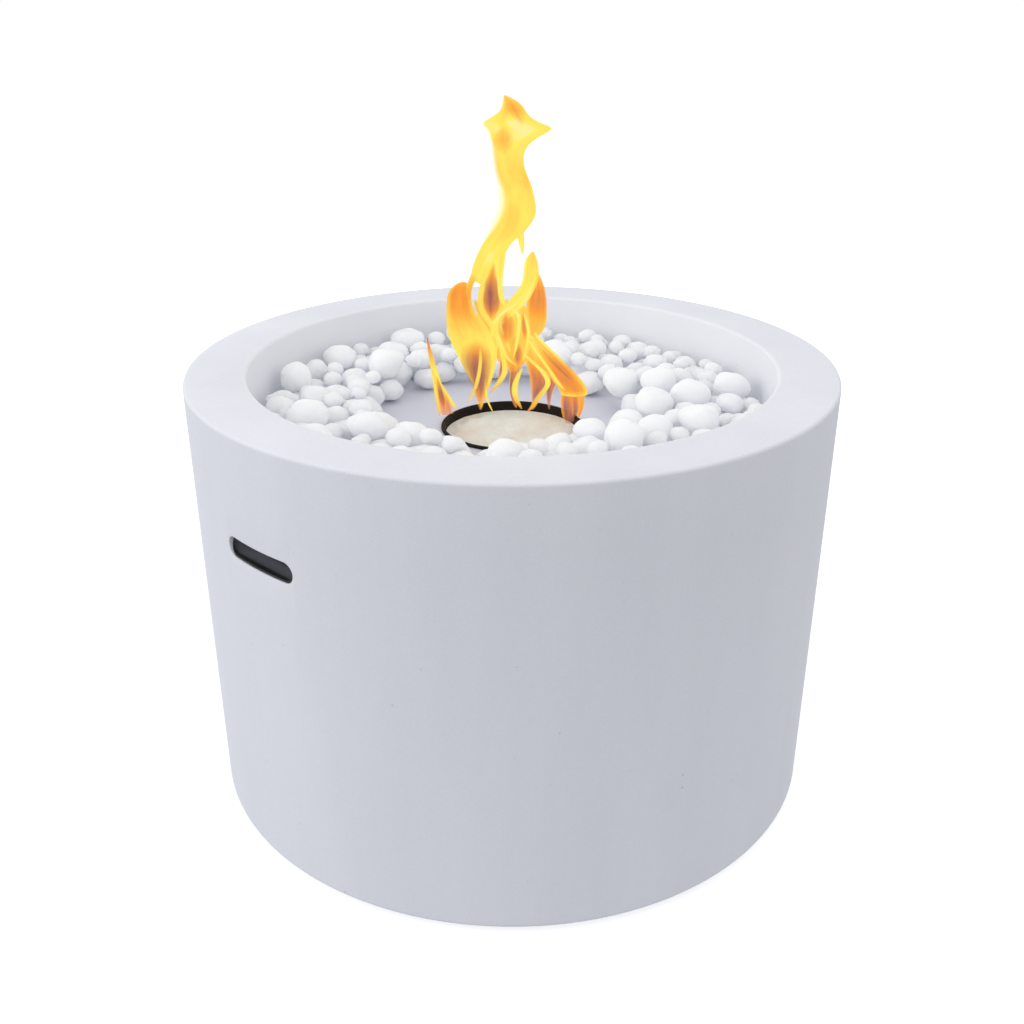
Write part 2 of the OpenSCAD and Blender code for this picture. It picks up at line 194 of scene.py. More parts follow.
bpy.ops.mesh.primitive_plane_add(size=studio["floorSize"])
floor = bpy.context.object
floor.name = "studio_floor"
floorFinish = bpy.data.materials.new("floor_white")
floorFinish.use_nodes = True
floorFinish.node_tree.nodes.clear()
matt = addNode(floorFinish, "ShaderNodeBsdfDiffuse", {"Color": (*studio["floorColour"], 1)})
floorPlace = addNode(floorFinish, "ShaderNodeTexCoord", {}).outputs["Object"]
away = lengthOf(floorFinish, floorPlace)
lift = spread(floorFinish, away, *studio["liftReach"], *studio["floorLift"])
lift = maths(floorFinish, "MULTIPLY", seenRay(floorFinish), lift)
glow = spread(floorFinish, away, *studio["glowReach"], studio["floorGlow"], 0.0)
light = addNode(floorFinish, "ShaderNodeEmission", {"Strength": maths(floorFinish, "MAXIMUM", lift, glow)})
both = addNode(floorFinish, "ShaderNodeAddShader", {0: matt.outputs[0], 1: light.outputs[0]})
addNode(floorFinish, "ShaderNodeOutputMaterial", {"Surface": both.outputs[0]})
floor.data.materials.append(floorFinish)

for lamp in studio["lamps"]:
    softLamp(*lamp)
print("camera, floor and lamps set")


# Modelling helpers
def clearPick():
    if bpy.context.object and bpy.context.object.mode != "OBJECT":
        bpy.ops.object.mode_set(mode="OBJECT")
    bpy.ops.object.select_all(action="DESELECT")


def pickOnly(obj):
    clearPick()
    obj.select_set(True)
    bpy.context.view_layer.objects.active = obj


def pickVerts(obj, test):
    bpy.ops.mesh.select_mode(type="VERT")
    bpy.ops.mesh.select_all(action="DESELECT")
    bpy.ops.object.mode_set(mode="OBJECT")
    for vertex in obj.data.vertices:
        vertex.select = test(vertex.co)
    bpy.ops.object.mode_set(mode="EDIT")


def pickEdges(obj, test):
    bpy.ops.mesh.select_mode(type="EDGE")
    bpy.ops.mesh.select_all(action="DESELECT")
    bpy.ops.object.mode_set(mode="OBJECT")
    verts = obj.data.vertices
    for edge in obj.data.edges:
        edge.select = test(verts[edge.vertices[0]].co, verts[edge.vertices[1]].co)
    bpy.ops.object.mode_set(mode="EDIT")


def closeUp(obj, smoothAngle=35):
    pickOnly(obj)
    bpy.ops.object.mode_set(mode="EDIT")
    bpy.ops.mesh.select_all(action="SELECT")
    bpy.ops.mesh.remove_doubles(threshold=tiny)
    bpy.ops.mesh.normals_make_consistent(inside=False)
    bpy.ops.object.mode_set(mode="OBJECT")
    bpy.ops.object.shade_smooth_by_angle(angle=math.radians(smoothAngle))


# Draws an outline of (radius, height) corners, rounds some of them and spins it about the Z axis
def turned(name, outline, rounds=(), steps=192):
    clearPick()
    bpy.ops.mesh.primitive_plane_add(size=0.01)
    obj = bpy.context.object
    obj.name = name
    bpy.ops.object.mode_set(mode="EDIT")
    bpy.ops.mesh.select_mode(type="VERT")
    bpy.ops.mesh.select_all(action="SELECT")
    bpy.ops.mesh.merge(type="CENTER")
    corners = [Vector((radius, 0, height)) for radius, height in outline]
    bpy.ops.transform.translate(value=corners[0])
    for here, there in zip(corners, corners[1:]):
        bpy.ops.mesh.extrude_vertices_move(TRANSFORM_OT_translate={"value": there - here})
    if corners[0].x > 0:
        ends = (corners[0], corners[-1])
        pickVerts(obj, lambda co: min((co - end).length for end in ends) < tiny)
        bpy.ops.mesh.edge_face_add()
    for corner, radius in rounds:
        pickVerts(obj, lambda co: (co - corners[corner]).length < tiny)
        bpy.ops.mesh.bevel(offset=radius, segments=6, affect="VERTICES")
    bpy.ops.mesh.select_all(action="SELECT")
    bpy.ops.mesh.spin(steps=steps, angle=2 * math.pi, center=(0, 0, 0), axis=(0, 0, 1))
    closeUp(obj)
    return obj


def applyModifier(obj, kind, **settings):
    pickOnly(obj)
    made = obj.modifiers.new(kind.lower(), kind)
    for name, value in settings.items():
        setattr(made, name, value)
    bpy.ops.object.modifier_apply(modifier=made.name)


def joined(parts, name):
    clearPick()
    for part in parts:
        part.select_set(True)
    bpy.context.view_layer.objects.active = parts[0]
    bpy.ops.object.join()
    parts[0].name = name
    return parts[0]


def cutAway(obj, cutter):
    applyModifier(obj, "BOOLEAN", object=cutter, operation="DIFFERENCE", solver="EXACT")
    bpy.data.objects.remove(cutter)


def finishPiece(obj, body, slot, finish, *nodes):
    obj.data.materials.clear()
    obj.data.materials.append(finish)
    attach(obj, body)
    if nodes:
        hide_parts(*nodes)


# Drum: one casting with a wide rim, a recess, a ledge, a flange underneath and two hand slots
drum = {
    "wall": 0.012,
    "rimDepth": 0.012,
    "rimEdge": 0.0022,
    "footEdge": 0.004,
    "recessRadius": 0.1835,
    "recessTaper": 0.002,
    "recessWall": 0.009,
    "ledgeWidth": 0.020,
    "ledgeDepth": 0.012,
    "flangeWidth": 0.030,
    "flangeDepth": 0.016,
    "panelGap": 0.0008,
    "slotLength": 0.064,
    "slotHeight": 0.014,
    "slotDrop": 0.076,
    "slotEdge": 0.0008,
    "slotClear": 0.002,                  # between the slot's cutter and the recess
    "inserts": 6,
    "insertTurn": 30,                    # degrees
    "insertRadius": 0.00455,
    "colourLow": (0.735, 0.748, 0.806),
    "colourHigh": (0.79, 0.802, 0.860),
    "poreColour": (0.55, 0.56, 0.60),
    "streak": 0.18,                      # the mottling runs down the wall
    "recessLitColour": (0.842, 0.851, 0.872),   # painted light: the recess is a little paler, for light bounced among the white stones
    "wallShade": 0.95,                   # painted shade: the wall's colour is a little darker under the rim
    "shadeReach": (0.19, 0.006),         # depths below the rim where the shade starts and is full
    "shadeEnd": (0.003, 0.0003),         # and where it stops, at the rim's edge
    "recessShare": 0.8,
    "recessBlend": 0.003,
    "poreCells": 130,
    "poreTone": 0.5,
}


def concreteFinish():
    mat, shader, place = newFinish("cast_concrete")
    cloud = noise(mat, stretched(mat, place, (1, 1, drum["streak"])), 13, detail=6, roughness=0.55)
    mottle = ramp(mat, cloud, [(0.30, drum["colourLow"]), (0.68, drum["colourHigh"])])
    grain = noise(mat, place, 700, detail=2)
    grainTint = ramp(mat, grain, [(0.25, (0.955, 0.955, 0.955)), (0.75, (1.0, 1.0, 1.0))])
    body = blendColour(mat, 1.0, mottle, grainTint, "MULTIPLY")
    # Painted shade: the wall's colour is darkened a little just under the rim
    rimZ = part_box("drum_shell")[1].z
    depth = maths(mat, "SUBTRACT", rimZ, heightOf(mat, place))
    shaded = spread(mat, depth, *drum["shadeReach"])
    shaded = maths(mat, "MULTIPLY", shaded, spread(mat, depth, *drum["shadeEnd"], 1.0, 0.0))
    body = blendColour(mat, shaded, body, (drum["wallShade"],) * 3, "MULTIPLY")
    # Painted light: the recess wall's colour is paler, for light bounced among the white stones
    outward = lengthOf(mat, stretched(mat, place, (1, 1, 0)))
    recessEnd = drum["recessRadius"] + drum["recessBlend"]
    recessLight = spread(mat, outward, drum["recessRadius"], recessEnd, drum["recessShare"], 0.0)
    body = blendColour(mat, recessLight, body, drum["recessLitColour"])
    pit = cells(mat, place, drum["poreCells"])
    thin = noise(mat, place, 45, detail=1)
    pitRadius = spread(mat, thin, 0.52, 0.80, 0.0, 0.16)      # most cells hold no pore
    pore = maths(mat, "LESS_THAN", pit, pitRadius)
    colour = blendColour(mat, maths(mat, "MULTIPLY", pore, drum["poreTone"]), body, drum["poreColour"])
    soft = noise(mat, place, 60, detail=4)
    height = maths(mat, "ADD", maths(mat, "MULTIPLY", soft, 0.6), maths(mat, "MULTIPLY", grain, 0.25))
    height = maths(mat, "SUBTRACT", height, pore)
    wire(mat, shader, {
        "Base Color": colour,
        "Roughness": spread(mat, cloud, 0.3, 0.7, 0.62, 0.78),
        "Specular IOR Level": 0.32,
        "Normal": bump(mat, height, 0.00025, 0.55),
    })
    return mat


def drumPiece():
    low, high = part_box("drum_shell")
    rimRadius, rimZ, footZ = high.x, high.z, low.z
    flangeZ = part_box("base_panel")[1].z
    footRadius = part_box("base_panel")[1].x + drum["panelGap"] + drum["wall"]
    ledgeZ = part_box("ledge_gasket")[0].z
    recess = drum["recessRadius"]
    ledgeRadius = recess - drum["recessTaper"]
    ledgeHole = ledgeRadius - drum["ledgeWidth"]
    back = recess + drum["recessWall"]
    underRim = rimZ - drum["rimDepth"]
    flangeTop = flangeZ + drum["flangeDepth"]
    inside = footRadius - drum["wall"]
    flangeHole = inside - drum["flangeWidth"]
    slotZ = rimZ - drum["slotDrop"]
    nearSlot = 2 * drum["slotHeight"]
    slope = (rimRadius - footRadius) / (rimZ - footZ)

    def wallRadius(z):
        return footRadius + slope * (z - footZ)

    outline = [
        (footRadius, footZ),
        (wallRadius(slotZ - nearSlot), slotZ - nearSlot),
        (wallRadius(slotZ + nearSlot), slotZ + nearSlot),
        (rimRadius, rimZ),
        (recess, rimZ),
        (ledgeRadius, ledgeZ),
        (ledgeHole, ledgeZ),
        (ledgeHole, ledgeZ - drum["ledgeDepth"]),
        (back, ledgeZ - drum["ledgeDepth"]),
        (back, underRim),
        (wallRadius(underRim) - drum["wall"], underRim),
        (wallRadius(flangeTop) - drum["wall"], flangeTop),
        (flangeHole, flangeTop),
        (flangeHole, flangeZ),
        (inside, flangeZ),
        (inside, footZ),
    ]
    rounds = [(0, drum["footEdge"]), (3, drum["rimEdge"]), (4, drum["rimEdge"])]
    obj = turned("drum_casting", outline, rounds, steps=256)
    # The hand slots: a bar with round ends, cut through the wall on both sides
    for side in (-1, 1):
        clearPick()
        reach = (rimRadius - back) * 0.96    # from the recess's outside to the bar's middle
        bpy.ops.mesh.primitive_cube_add(size=1, location=(side * (back + reach), 0, slotZ))
        cutter = bpy.context.object
        cutter.scale = (2 * (reach - drum["slotClear"]), drum["slotLength"], drum["slotHeight"])
        bpy.ops.object.transform_apply(location=True, rotation=True, scale=True)
        bpy.ops.object.mode_set(mode="EDIT")
        pickEdges(cutter, lambda a, b: abs(a.x - b.x) > 1 * mm)
        bpy.ops.mesh.bevel(offset=drum["slotHeight"] / 2 - 0.02 * mm, segments=12, affect="EDGES")
        bpy.ops.object.mode_set(mode="OBJECT")
        cutAway(obj, cutter)
    # Blind holes that hold the threaded inserts
    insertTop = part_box("base_inserts")[1].z
    insertCircle = inside - drum["flangeWidth"] / 2
    holes = []
    for number in range(drum["inserts"]):
        angle = math.radians(360 / drum["inserts"] * number + drum["insertTurn"])
        x, y = insertCircle * math.cos(angle), insertCircle * math.sin(angle)
        clearPick()
        bpy.ops.mesh.primitive_cylinder_add(
            vertices=32,
            radius=drum["insertRadius"],
            depth=insertTop - flangeZ + 2 * mm,
            location=(x, y, (insertTop + flangeZ) / 2),
        )
        bpy.ops.object.transform_apply(location=True)
        holes.append(bpy.context.object)
    cutAway(obj, joined(holes, "insert_holes"))
    # Soft edge round the mouth of each slot
    straight = (drum["slotLength"] - drum["slotHeight"]) / 2

    def onSlotMouth(co):
        along = max(abs(co.y) - straight, 0)
        fromMiddle = math.hypot(along, co.z - slotZ)
        outside = math.hypot(co.x, co.y) > wallRadius(co.z) - 0.5 * mm
        return outside and abs(fromMiddle - drum["slotHeight"] / 2) < 0.1 * mm

    pickOnly(obj)
    bpy.ops.object.mode_set(mode="EDIT")
    pickEdges(obj, lambda a, b: onSlotMouth(a) and onSlotMouth(b))
    bpy.ops.mesh.bevel(offset=drum["slotEdge"], segments=4, affect="EDGES")
    closeUp(obj)
    finishPiece(obj, "drum", "concrete", concreteFinish(), "drum_shell")
    print("drum cast,", len(obj.data.polygons), "faces")


drumPiece()


# Burner pan: folded sheet steel with an upturned edge
pan = {
    "sheet": 0.002,
    "bend": 0.0034,
    "holeEdge": 0.0004,
    "cupGap": 0.0006,
    "hemReach": 0.0019,
    "colour": (0.60, 0.605, 0.675),
    "colourWorn": (0.64, 0.645, 0.70),
    "stoneGapLight": (0.87, 0.878, 0.90),         # painted light: the pan is paler under the stones, to lighten the shaded gaps between them
    "stoneGapReach": (0.006, 0.016),         # from the bare patch's edge
    "stoneGapDepth": (0.0004, 0.0002),       # only the sheet's upper side is painted paler
    "bareMiddle": (0.002, 0.018),        # the patch without stones
    "bareRadius": 0.089,
}


def panFinish():
    mat, shader, place = newFinish("pan_paint")
    cloud = noise(mat, place, 24, detail=4)
    colour = ramp(mat, cloud, [(0.35, pan["colour"]), (0.70, pan["colourWorn"])])
    ends = {0: stretched(mat, place, (1, 1, 0)), 1: (*pan["bareMiddle"], 0)}
    outward = addNode(mat, "ShaderNodeVectorMath", ends, operation="DISTANCE").outputs["Value"]
    fromEdge = maths(mat, "SUBTRACT", outward, pan["bareRadius"])
    depth = maths(mat, "SUBTRACT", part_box("burner_pan")[0].z + pan["sheet"], heightOf(mat, place))
    # Painted light: the pan's colour is paler under the stones, so the shaded gaps between them look lit
    gapLight = spread(mat, fromEdge, *pan["stoneGapReach"])
    gapLight = maths(mat, "MULTIPLY", gapLight, spread(mat, depth, *pan["stoneGapDepth"]))
    colour = blendColour(mat, gapLight, colour, pan["stoneGapLight"])
    peel = noise(mat, place, 900, detail=1)
    wire(mat, shader, {
        "Base Color": colour,
        "Roughness": spread(mat, cloud, 0.3, 0.7, 0.42, 0.55),
        "Specular IOR Level": 0.4,
        "Normal": bump(mat, peel, 0.00006, 0.5),
    })
    return mat


def panPiece():
    low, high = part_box("burner_pan")
    top = low.z + pan["sheet"]
    edge = high.x
    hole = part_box("burner_cup")[1].x - pan["hemReach"] + pan["cupGap"]
    outline = [
        (hole, low.z),
        (edge, low.z),
        (edge, high.z),
        (edge - pan["sheet"], high.z),
        (edge - pan["sheet"], top),
        (hole, top),
    ]
    roll = pan["sheet"] * 0.45
    rounds = [(1, pan["bend"]), (2, roll), (3, roll), (4, pan["bend"] - pan["sheet"]), (5, pan["holeEdge"])]
    obj = turned("burner_pan_sheet", outline, rounds)
    finishPiece(obj, "tray", "pan_paint", panFinish(), "burner_pan")
    print("pan folded")
    return top


panTop = panPiece()


# Stones: a few tumbled shapes, copied to where the part's stones lie
stones = {
    "shapes": 7,
    "smallShapes": 4,
    "lumps": ((1.1, 0.62), (0.42, 0.16)),   # size and strength
    "grow": (1.0, 1.12),
    "narrow": (0.92, 1.02),
    "tall": (0.96, 1.06),
    "tilt": 16,                          # degrees
    "seed": 11,
    "small": 230,                        # small stones in the pockets between the others
    "smallTries": 200,
    "smallRadius": (0.0052, 0.0092),
    "smallTop": 0.030,
    "squash": 0.78,
    "clearRadius": 0.100,                # round the burner's axis
    "colour": (0.875, 0.888, 0.93),
    "colourBright": (0.91, 0.92, 0.95),
    "vein": (0.84, 0.855, 0.90),
    "fineness": 4,                       # of the round shapes that the stones are made from
    "smallFineness": 2,
    "glowDepth": 0.03,                   # how far light wanders inside a stone
    "glowTint": (0.95, 0.97, 1.0),
}


def stoneFinish():
    mat, shader, place = newFinish("white_stone")
    cloud = noise(mat, place, 38, detail=5, roughness=0.6)
    colour = ramp(mat, cloud, [(0.32, stones["colour"]), (0.62, stones["colourBright"])])
    bend = noise(mat, place, 55, detail=3)
    seam = maths(mat, "ABSOLUTE", maths(mat, "SUBTRACT", bend, 0.5))
    veinTone = spread(mat, seam, 0.0, 0.022, 0.35, 0.0)
    colour = blendColour(mat, veinTone, colour, stones["vein"])
    pits = noise(mat, place, 1100, detail=2)
    soft = noise(mat, place, 170, detail=3)
    height = maths(mat, "ADD", soft, maths(mat, "MULTIPLY", pits, 0.3))
    wire(mat, shader, {
        "Base Color": colour,
        "Roughness": spread(mat, cloud, 0.3, 0.7, 0.5, 0.68),
        "Specular IOR Level": 0.3,
        "Subsurface Weight": 1.0,
        "Subsurface Radius": stones["glowTint"],
        "Subsurface Scale": stones["glowDepth"],
        "Normal": bump(mat, height, 0.0004, 0.4),
    })
    return mat


def stoneShape(number, fineness):
    clearPick()
    bpy.ops.mesh.primitive_ico_sphere_add(subdivisions=fineness, radius=1)
    obj = bpy.context.object
    obj.name = f"stone_shape_{number}"
    aside = Vector((5.3 * number + 2.1, 1.7 * number, 0.9 * number))   # each shape meets other lumps
    bpy.ops.object.mode_set(mode="EDIT")
    bpy.ops.mesh.select_all(action="SELECT")
    bpy.ops.transform.translate(value=aside)
    bpy.ops.object.mode_set(mode="OBJECT")
    for size, strength in stones["lumps"]:
        lumps = bpy.data.textures.new(f"lumps_{number}", "CLOUDS")
        lumps.noise_scale = size
        lumps.noise_depth = 1
        applyModifier(obj, "DISPLACE", texture=lumps, strength=strength, texture_coords="LOCAL")
    bpy.ops.object.mode_set(mode="EDIT")
    bpy.ops.mesh.select_all(action="SELECT")
    bpy.ops.transform.translate(value=-aside)
    bpy.ops.mesh.vertices_smooth(factor=0.5, repeat=4)
    bpy.ops.object.mode_set(mode="OBJECT")
    # Centred and brought to a box two units wide each way, so that a copy's scale is its half size
    corners = [Vector(corner) for corner in obj.bound_box]
    size = corners[6] - corners[0]
    centre = (corners[6] + corners[0]) / 2
    bpy.ops.object.mode_set(mode="EDIT")
    bpy.ops.transform.translate(value=-centre)
    bpy.ops.transform.resize(value=(2 / size.x, 2 / size.y, 2 / size.z), center_override=(0, 0, 0))
    bpy.ops.object.mode_set(mode="OBJECT")
    bpy.ops.object.shade_smooth()
    return obj


# The place and size of each stone in a CAD node, from a merged copy that is split into loose parts
def stonesIn(node):
    pickOnly(cadNodes[node])
    bpy.ops.object.duplicate()
    bpy.ops.object.mode_set(mode="EDIT")
    bpy.ops.mesh.select_all(action="SELECT")
    bpy.ops.mesh.remove_doubles(threshold=tiny)
    bpy.ops.mesh.separate(type="LOOSE")
    bpy.ops.object.mode_set(mode="OBJECT")
    found = []
    for part in list(bpy.context.selected_objects):
        low, high = Vector(part.bound_box[0]), Vector(part.bound_box[6])
        found.append(((low + high) / 2, high - low))
        bpy.data.objects.remove(part)
    return sorted(found, key=lambda stone: (round(stone[0].x, 5), round(stone[0].y, 5)))


def layStone(shape, centre, size, luck):
    copy = shape.copy()
    copy.data = shape.data.copy()
    bpy.context.scene.collection.objects.link(copy)
    copy.location = centre
    copy.scale = (
        size.x / 2 * luck.uniform(*stones["grow"]),
        size.y / 2 * luck.uniform(*stones["narrow"]),
        size.z / 2 * luck.uniform(*stones["tall"]),
    )
    tilt = math.radians(stones["tilt"])
    copy.rotation_euler = (luck.uniform(-tilt, tilt), luck.uniform(-tilt, tilt), luck.uniform(0, 2 * math.pi))
    pickOnly(copy)
    bpy.ops.object.transform_apply(location=True, rotation=True, scale=True)
    sink = min(corner[2] for corner in copy.bound_box) - (centre.z - size.z / 2)
    if sink < 0:                         # lifted, so that it rests where the part's stone rests
        bpy.ops.object.mode_set(mode="EDIT")
        bpy.ops.mesh.select_all(action="SELECT")
        bpy.ops.transform.translate(value=(0, 0, -sink))
        bpy.ops.object.mode_set(mode="OBJECT")
    return copy


# Small stones take the lowest of many random places. Heights divided by the squash turn stones into balls.
def smallStones(laid, luck):
    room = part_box("burner_pan")[1].x - pan["sheet"]
    bare = Vector(pan["bareMiddle"])
    squash = stones["squash"]
    balls = [(centre.x, centre.y, (centre.z - panTop) / squash, size.x / 2) for centre, size in laid]
    found = []
    for number in range(stones["small"]):
        radius = luck.uniform(*stones["smallRadius"])
        places = []
        for attempt in range(stones["smallTries"]):
            out = (room - radius) * math.sqrt(luck.random())
            angle = luck.uniform(0, 2 * math.pi)
            x, y = out * math.cos(angle), out * math.sin(angle)
            if (Vector((x, y)) - bare).length < pan["bareRadius"] + radius or out < stones["clearRadius"]:
                continue
            height = radius
            for ballX, ballY, ballZ, ballRadius in balls:
                gap = (radius + ballRadius) ** 2 - (x - ballX) ** 2 - (y - ballY) ** 2
                if gap > 0:
                    height = max(height, ballZ + math.sqrt(gap))
            if (height + radius) * squash < stones["smallTop"]:
                places.append((height, x, y))
        if not places:
            continue
        height, x, y = min(places)
        balls.append((x, y, height, radius))
        size = Vector((2 * radius, 2 * radius, 2 * radius * squash))
        found.append((Vector((x, y, panTop + height * squash)), size))
    return found


def stonePieces():
    finish = stoneFinish()
    count = stones["shapes"]
    numbers = range(count + stones["smallShapes"])
    shapes = [stoneShape(number, stones["fineness"]) for number in numbers[:count]]
    smallShapes = [stoneShape(number, stones["smallFineness"]) for number in numbers[count:]]
    luck = random.Random(stones["seed"])
    laid = []
    for node in sorted(name for name in cadNodes if name.startswith("pebbles_")):
        places = stonesIn(node)
        laid += places
        copies = [layStone(luck.choice(shapes), *place, luck) for place in places]
        finishPiece(joined(copies, node.replace("pebbles", "stones")), "tray", "white_stone", finish, node)
    copies = [layStone(luck.choice(smallShapes), *place, luck) for place in smallStones(laid, luck)]
    finishPiece(joined(copies, "stones_small"), "tray", "white_stone", finish)
    for shape in shapes + smallShapes:
        bpy.data.objects.remove(shape)
    print("stones laid,", len(laid), "and", len(copies), "small ones")


stonePieces()


# Burner: a drawn cup with a rolled rim, and the ceramic wool in it
burner = {
    "sheet": 0.0008,
    "hemReach": 0.0019,
    "hemRoll": 0.00105,
    "footBend": 0.003,
    "enamel": (0.006, 0.0055, 0.005),
    "soot": (0.018, 0.012, 0.009),
    "woolRings": 40,
    "woolBumps": (("lump", 0.011, 0.0042), ("fuzz", 0.0022, 0.0016)),    # name, size and strength
    "woolEdge": 0.003,                   # the bumps grow over this much from the wool's edge
    "woolEdgeBumps": 0.15,
    "woolLevel": 0.72,                   # the grey of a bump that stays at the wool's height
    "wool": (0.82, 0.78, 0.67),
    "woolPale": (0.90, 0.88, 0.80),
    # painted light: the flame's warm glow on the wool
    "woolFlameGlow": (0.88, 0.68, 0.50),
}


def enamelFinish():
    mat, shader, place = newFinish("black_enamel")
    cloud = noise(mat, place, 60, detail=5, roughness=0.65)
    colour = ramp(mat, cloud, [(0.40, burner["enamel"]), (0.72, burner["soot"])])
    grit = noise(mat, place, 1500, detail=2)
    wire(mat, shader, {
        "Base Color": colour,
        "Roughness": spread(mat, cloud, 0.35, 0.7, 0.5, 0.8),
        "Specular IOR Level": 0.15,
        "Normal": bump(mat, grit, 0.00008, 0.5),
    })
    return mat


def woolFinish():
    mat, shader, place = newFinish("ceramic_wool")
    cloud = noise(mat, place, 42, detail=4, roughness=0.6)
    colour = ramp(mat, cloud, [(0.30, burner["wool"]), (0.65, burner["woolPale"])])
    # Painted light: warm patches stand in for the flame's glow on the wool
    flameGlowPatches = noise(mat, stretched(mat, place, (14, 34, 10)), 1.0, detail=3)
    colour = blendColour(mat, spread(mat, flameGlowPatches, 0.38, 0.66, 0.0, 0.7), colour, burner["woolFlameGlow"])
    fibre = noise(mat, stretched(mat, place, (500, 2600, 500)), 1.0, detail=3, roughness=0.7)
    across = noise(mat, stretched(mat, place, (2400, 420, 500)), 1.0, detail=3, roughness=0.7)
    height = maths(mat, "ADD", fibre, across)
    wire(mat, shader, {
        "Base Color": colour,
        "Roughness": 0.95,
        "Specular IOR Level": 0.1,
        "Sheen Weight": 0.3,
        "Normal": bump(mat, height, 0.0006, 0.8),
    })
    return mat


def burnerPieces():
    low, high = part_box("burner_cup")
    wallRadius = high.x - burner["hemReach"]
    mouth = wallRadius - burner["sheet"]
    outline = [
        (0, low.z),
        (wallRadius, low.z),
        (wallRadius, panTop + 0.1 * mm),
        (high.x, panTop + 0.1 * mm),
        (high.x, high.z),
        (mouth, high.z),
        (mouth, low.z + burner["sheet"]),
        (0, low.z + burner["sheet"]),
    ]
    bend = burner["footBend"]
    rounds = [(1, bend), (4, burner["hemRoll"]), (5, burner["hemRoll"]), (6, bend - burner["sheet"])]
    cup = turned("burner_can", outline, rounds)
    finishPiece(cup, "burner", "black_enamel", enamelFinish(), "burner_cup")

    low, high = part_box("wool_core")
    rings = burner["woolRings"]
    outline = [(0, low.z), (high.x, low.z)]
    outline += [(high.x * ring / rings, high.z) for ring in range(rings, -1, -1)]
    wool = turned("wool_pad", outline, steps=180)
    top = wool.vertex_groups.new(name="top")
    for vertex in wool.data.vertices:
        inFromEdge = high.x - math.hypot(vertex.co.x, vertex.co.y)
        if vertex.co.z > high.z - 1 * mm:
            share = inFromEdge / burner["woolEdge"] + burner["woolEdgeBumps"]
            top.add([vertex.index], min(1.0, share), "REPLACE")
    for label, size, strength in burner["woolBumps"]:
        texture = bpy.data.textures.new("wool_" + label, "CLOUDS")
        texture.noise_scale = size
        texture.noise_depth = 2
        applyModifier(
            wool, "DISPLACE", texture=texture, strength=strength, mid_level=burner["woolLevel"],
            direction="Z", texture_coords="LOCAL", vertex_group="top",
        )
    finishPiece(wool, "burner", "ceramic_wool", woolFinish(), "wool_core")
    print("burner cup and wool made")


burnerPieces()

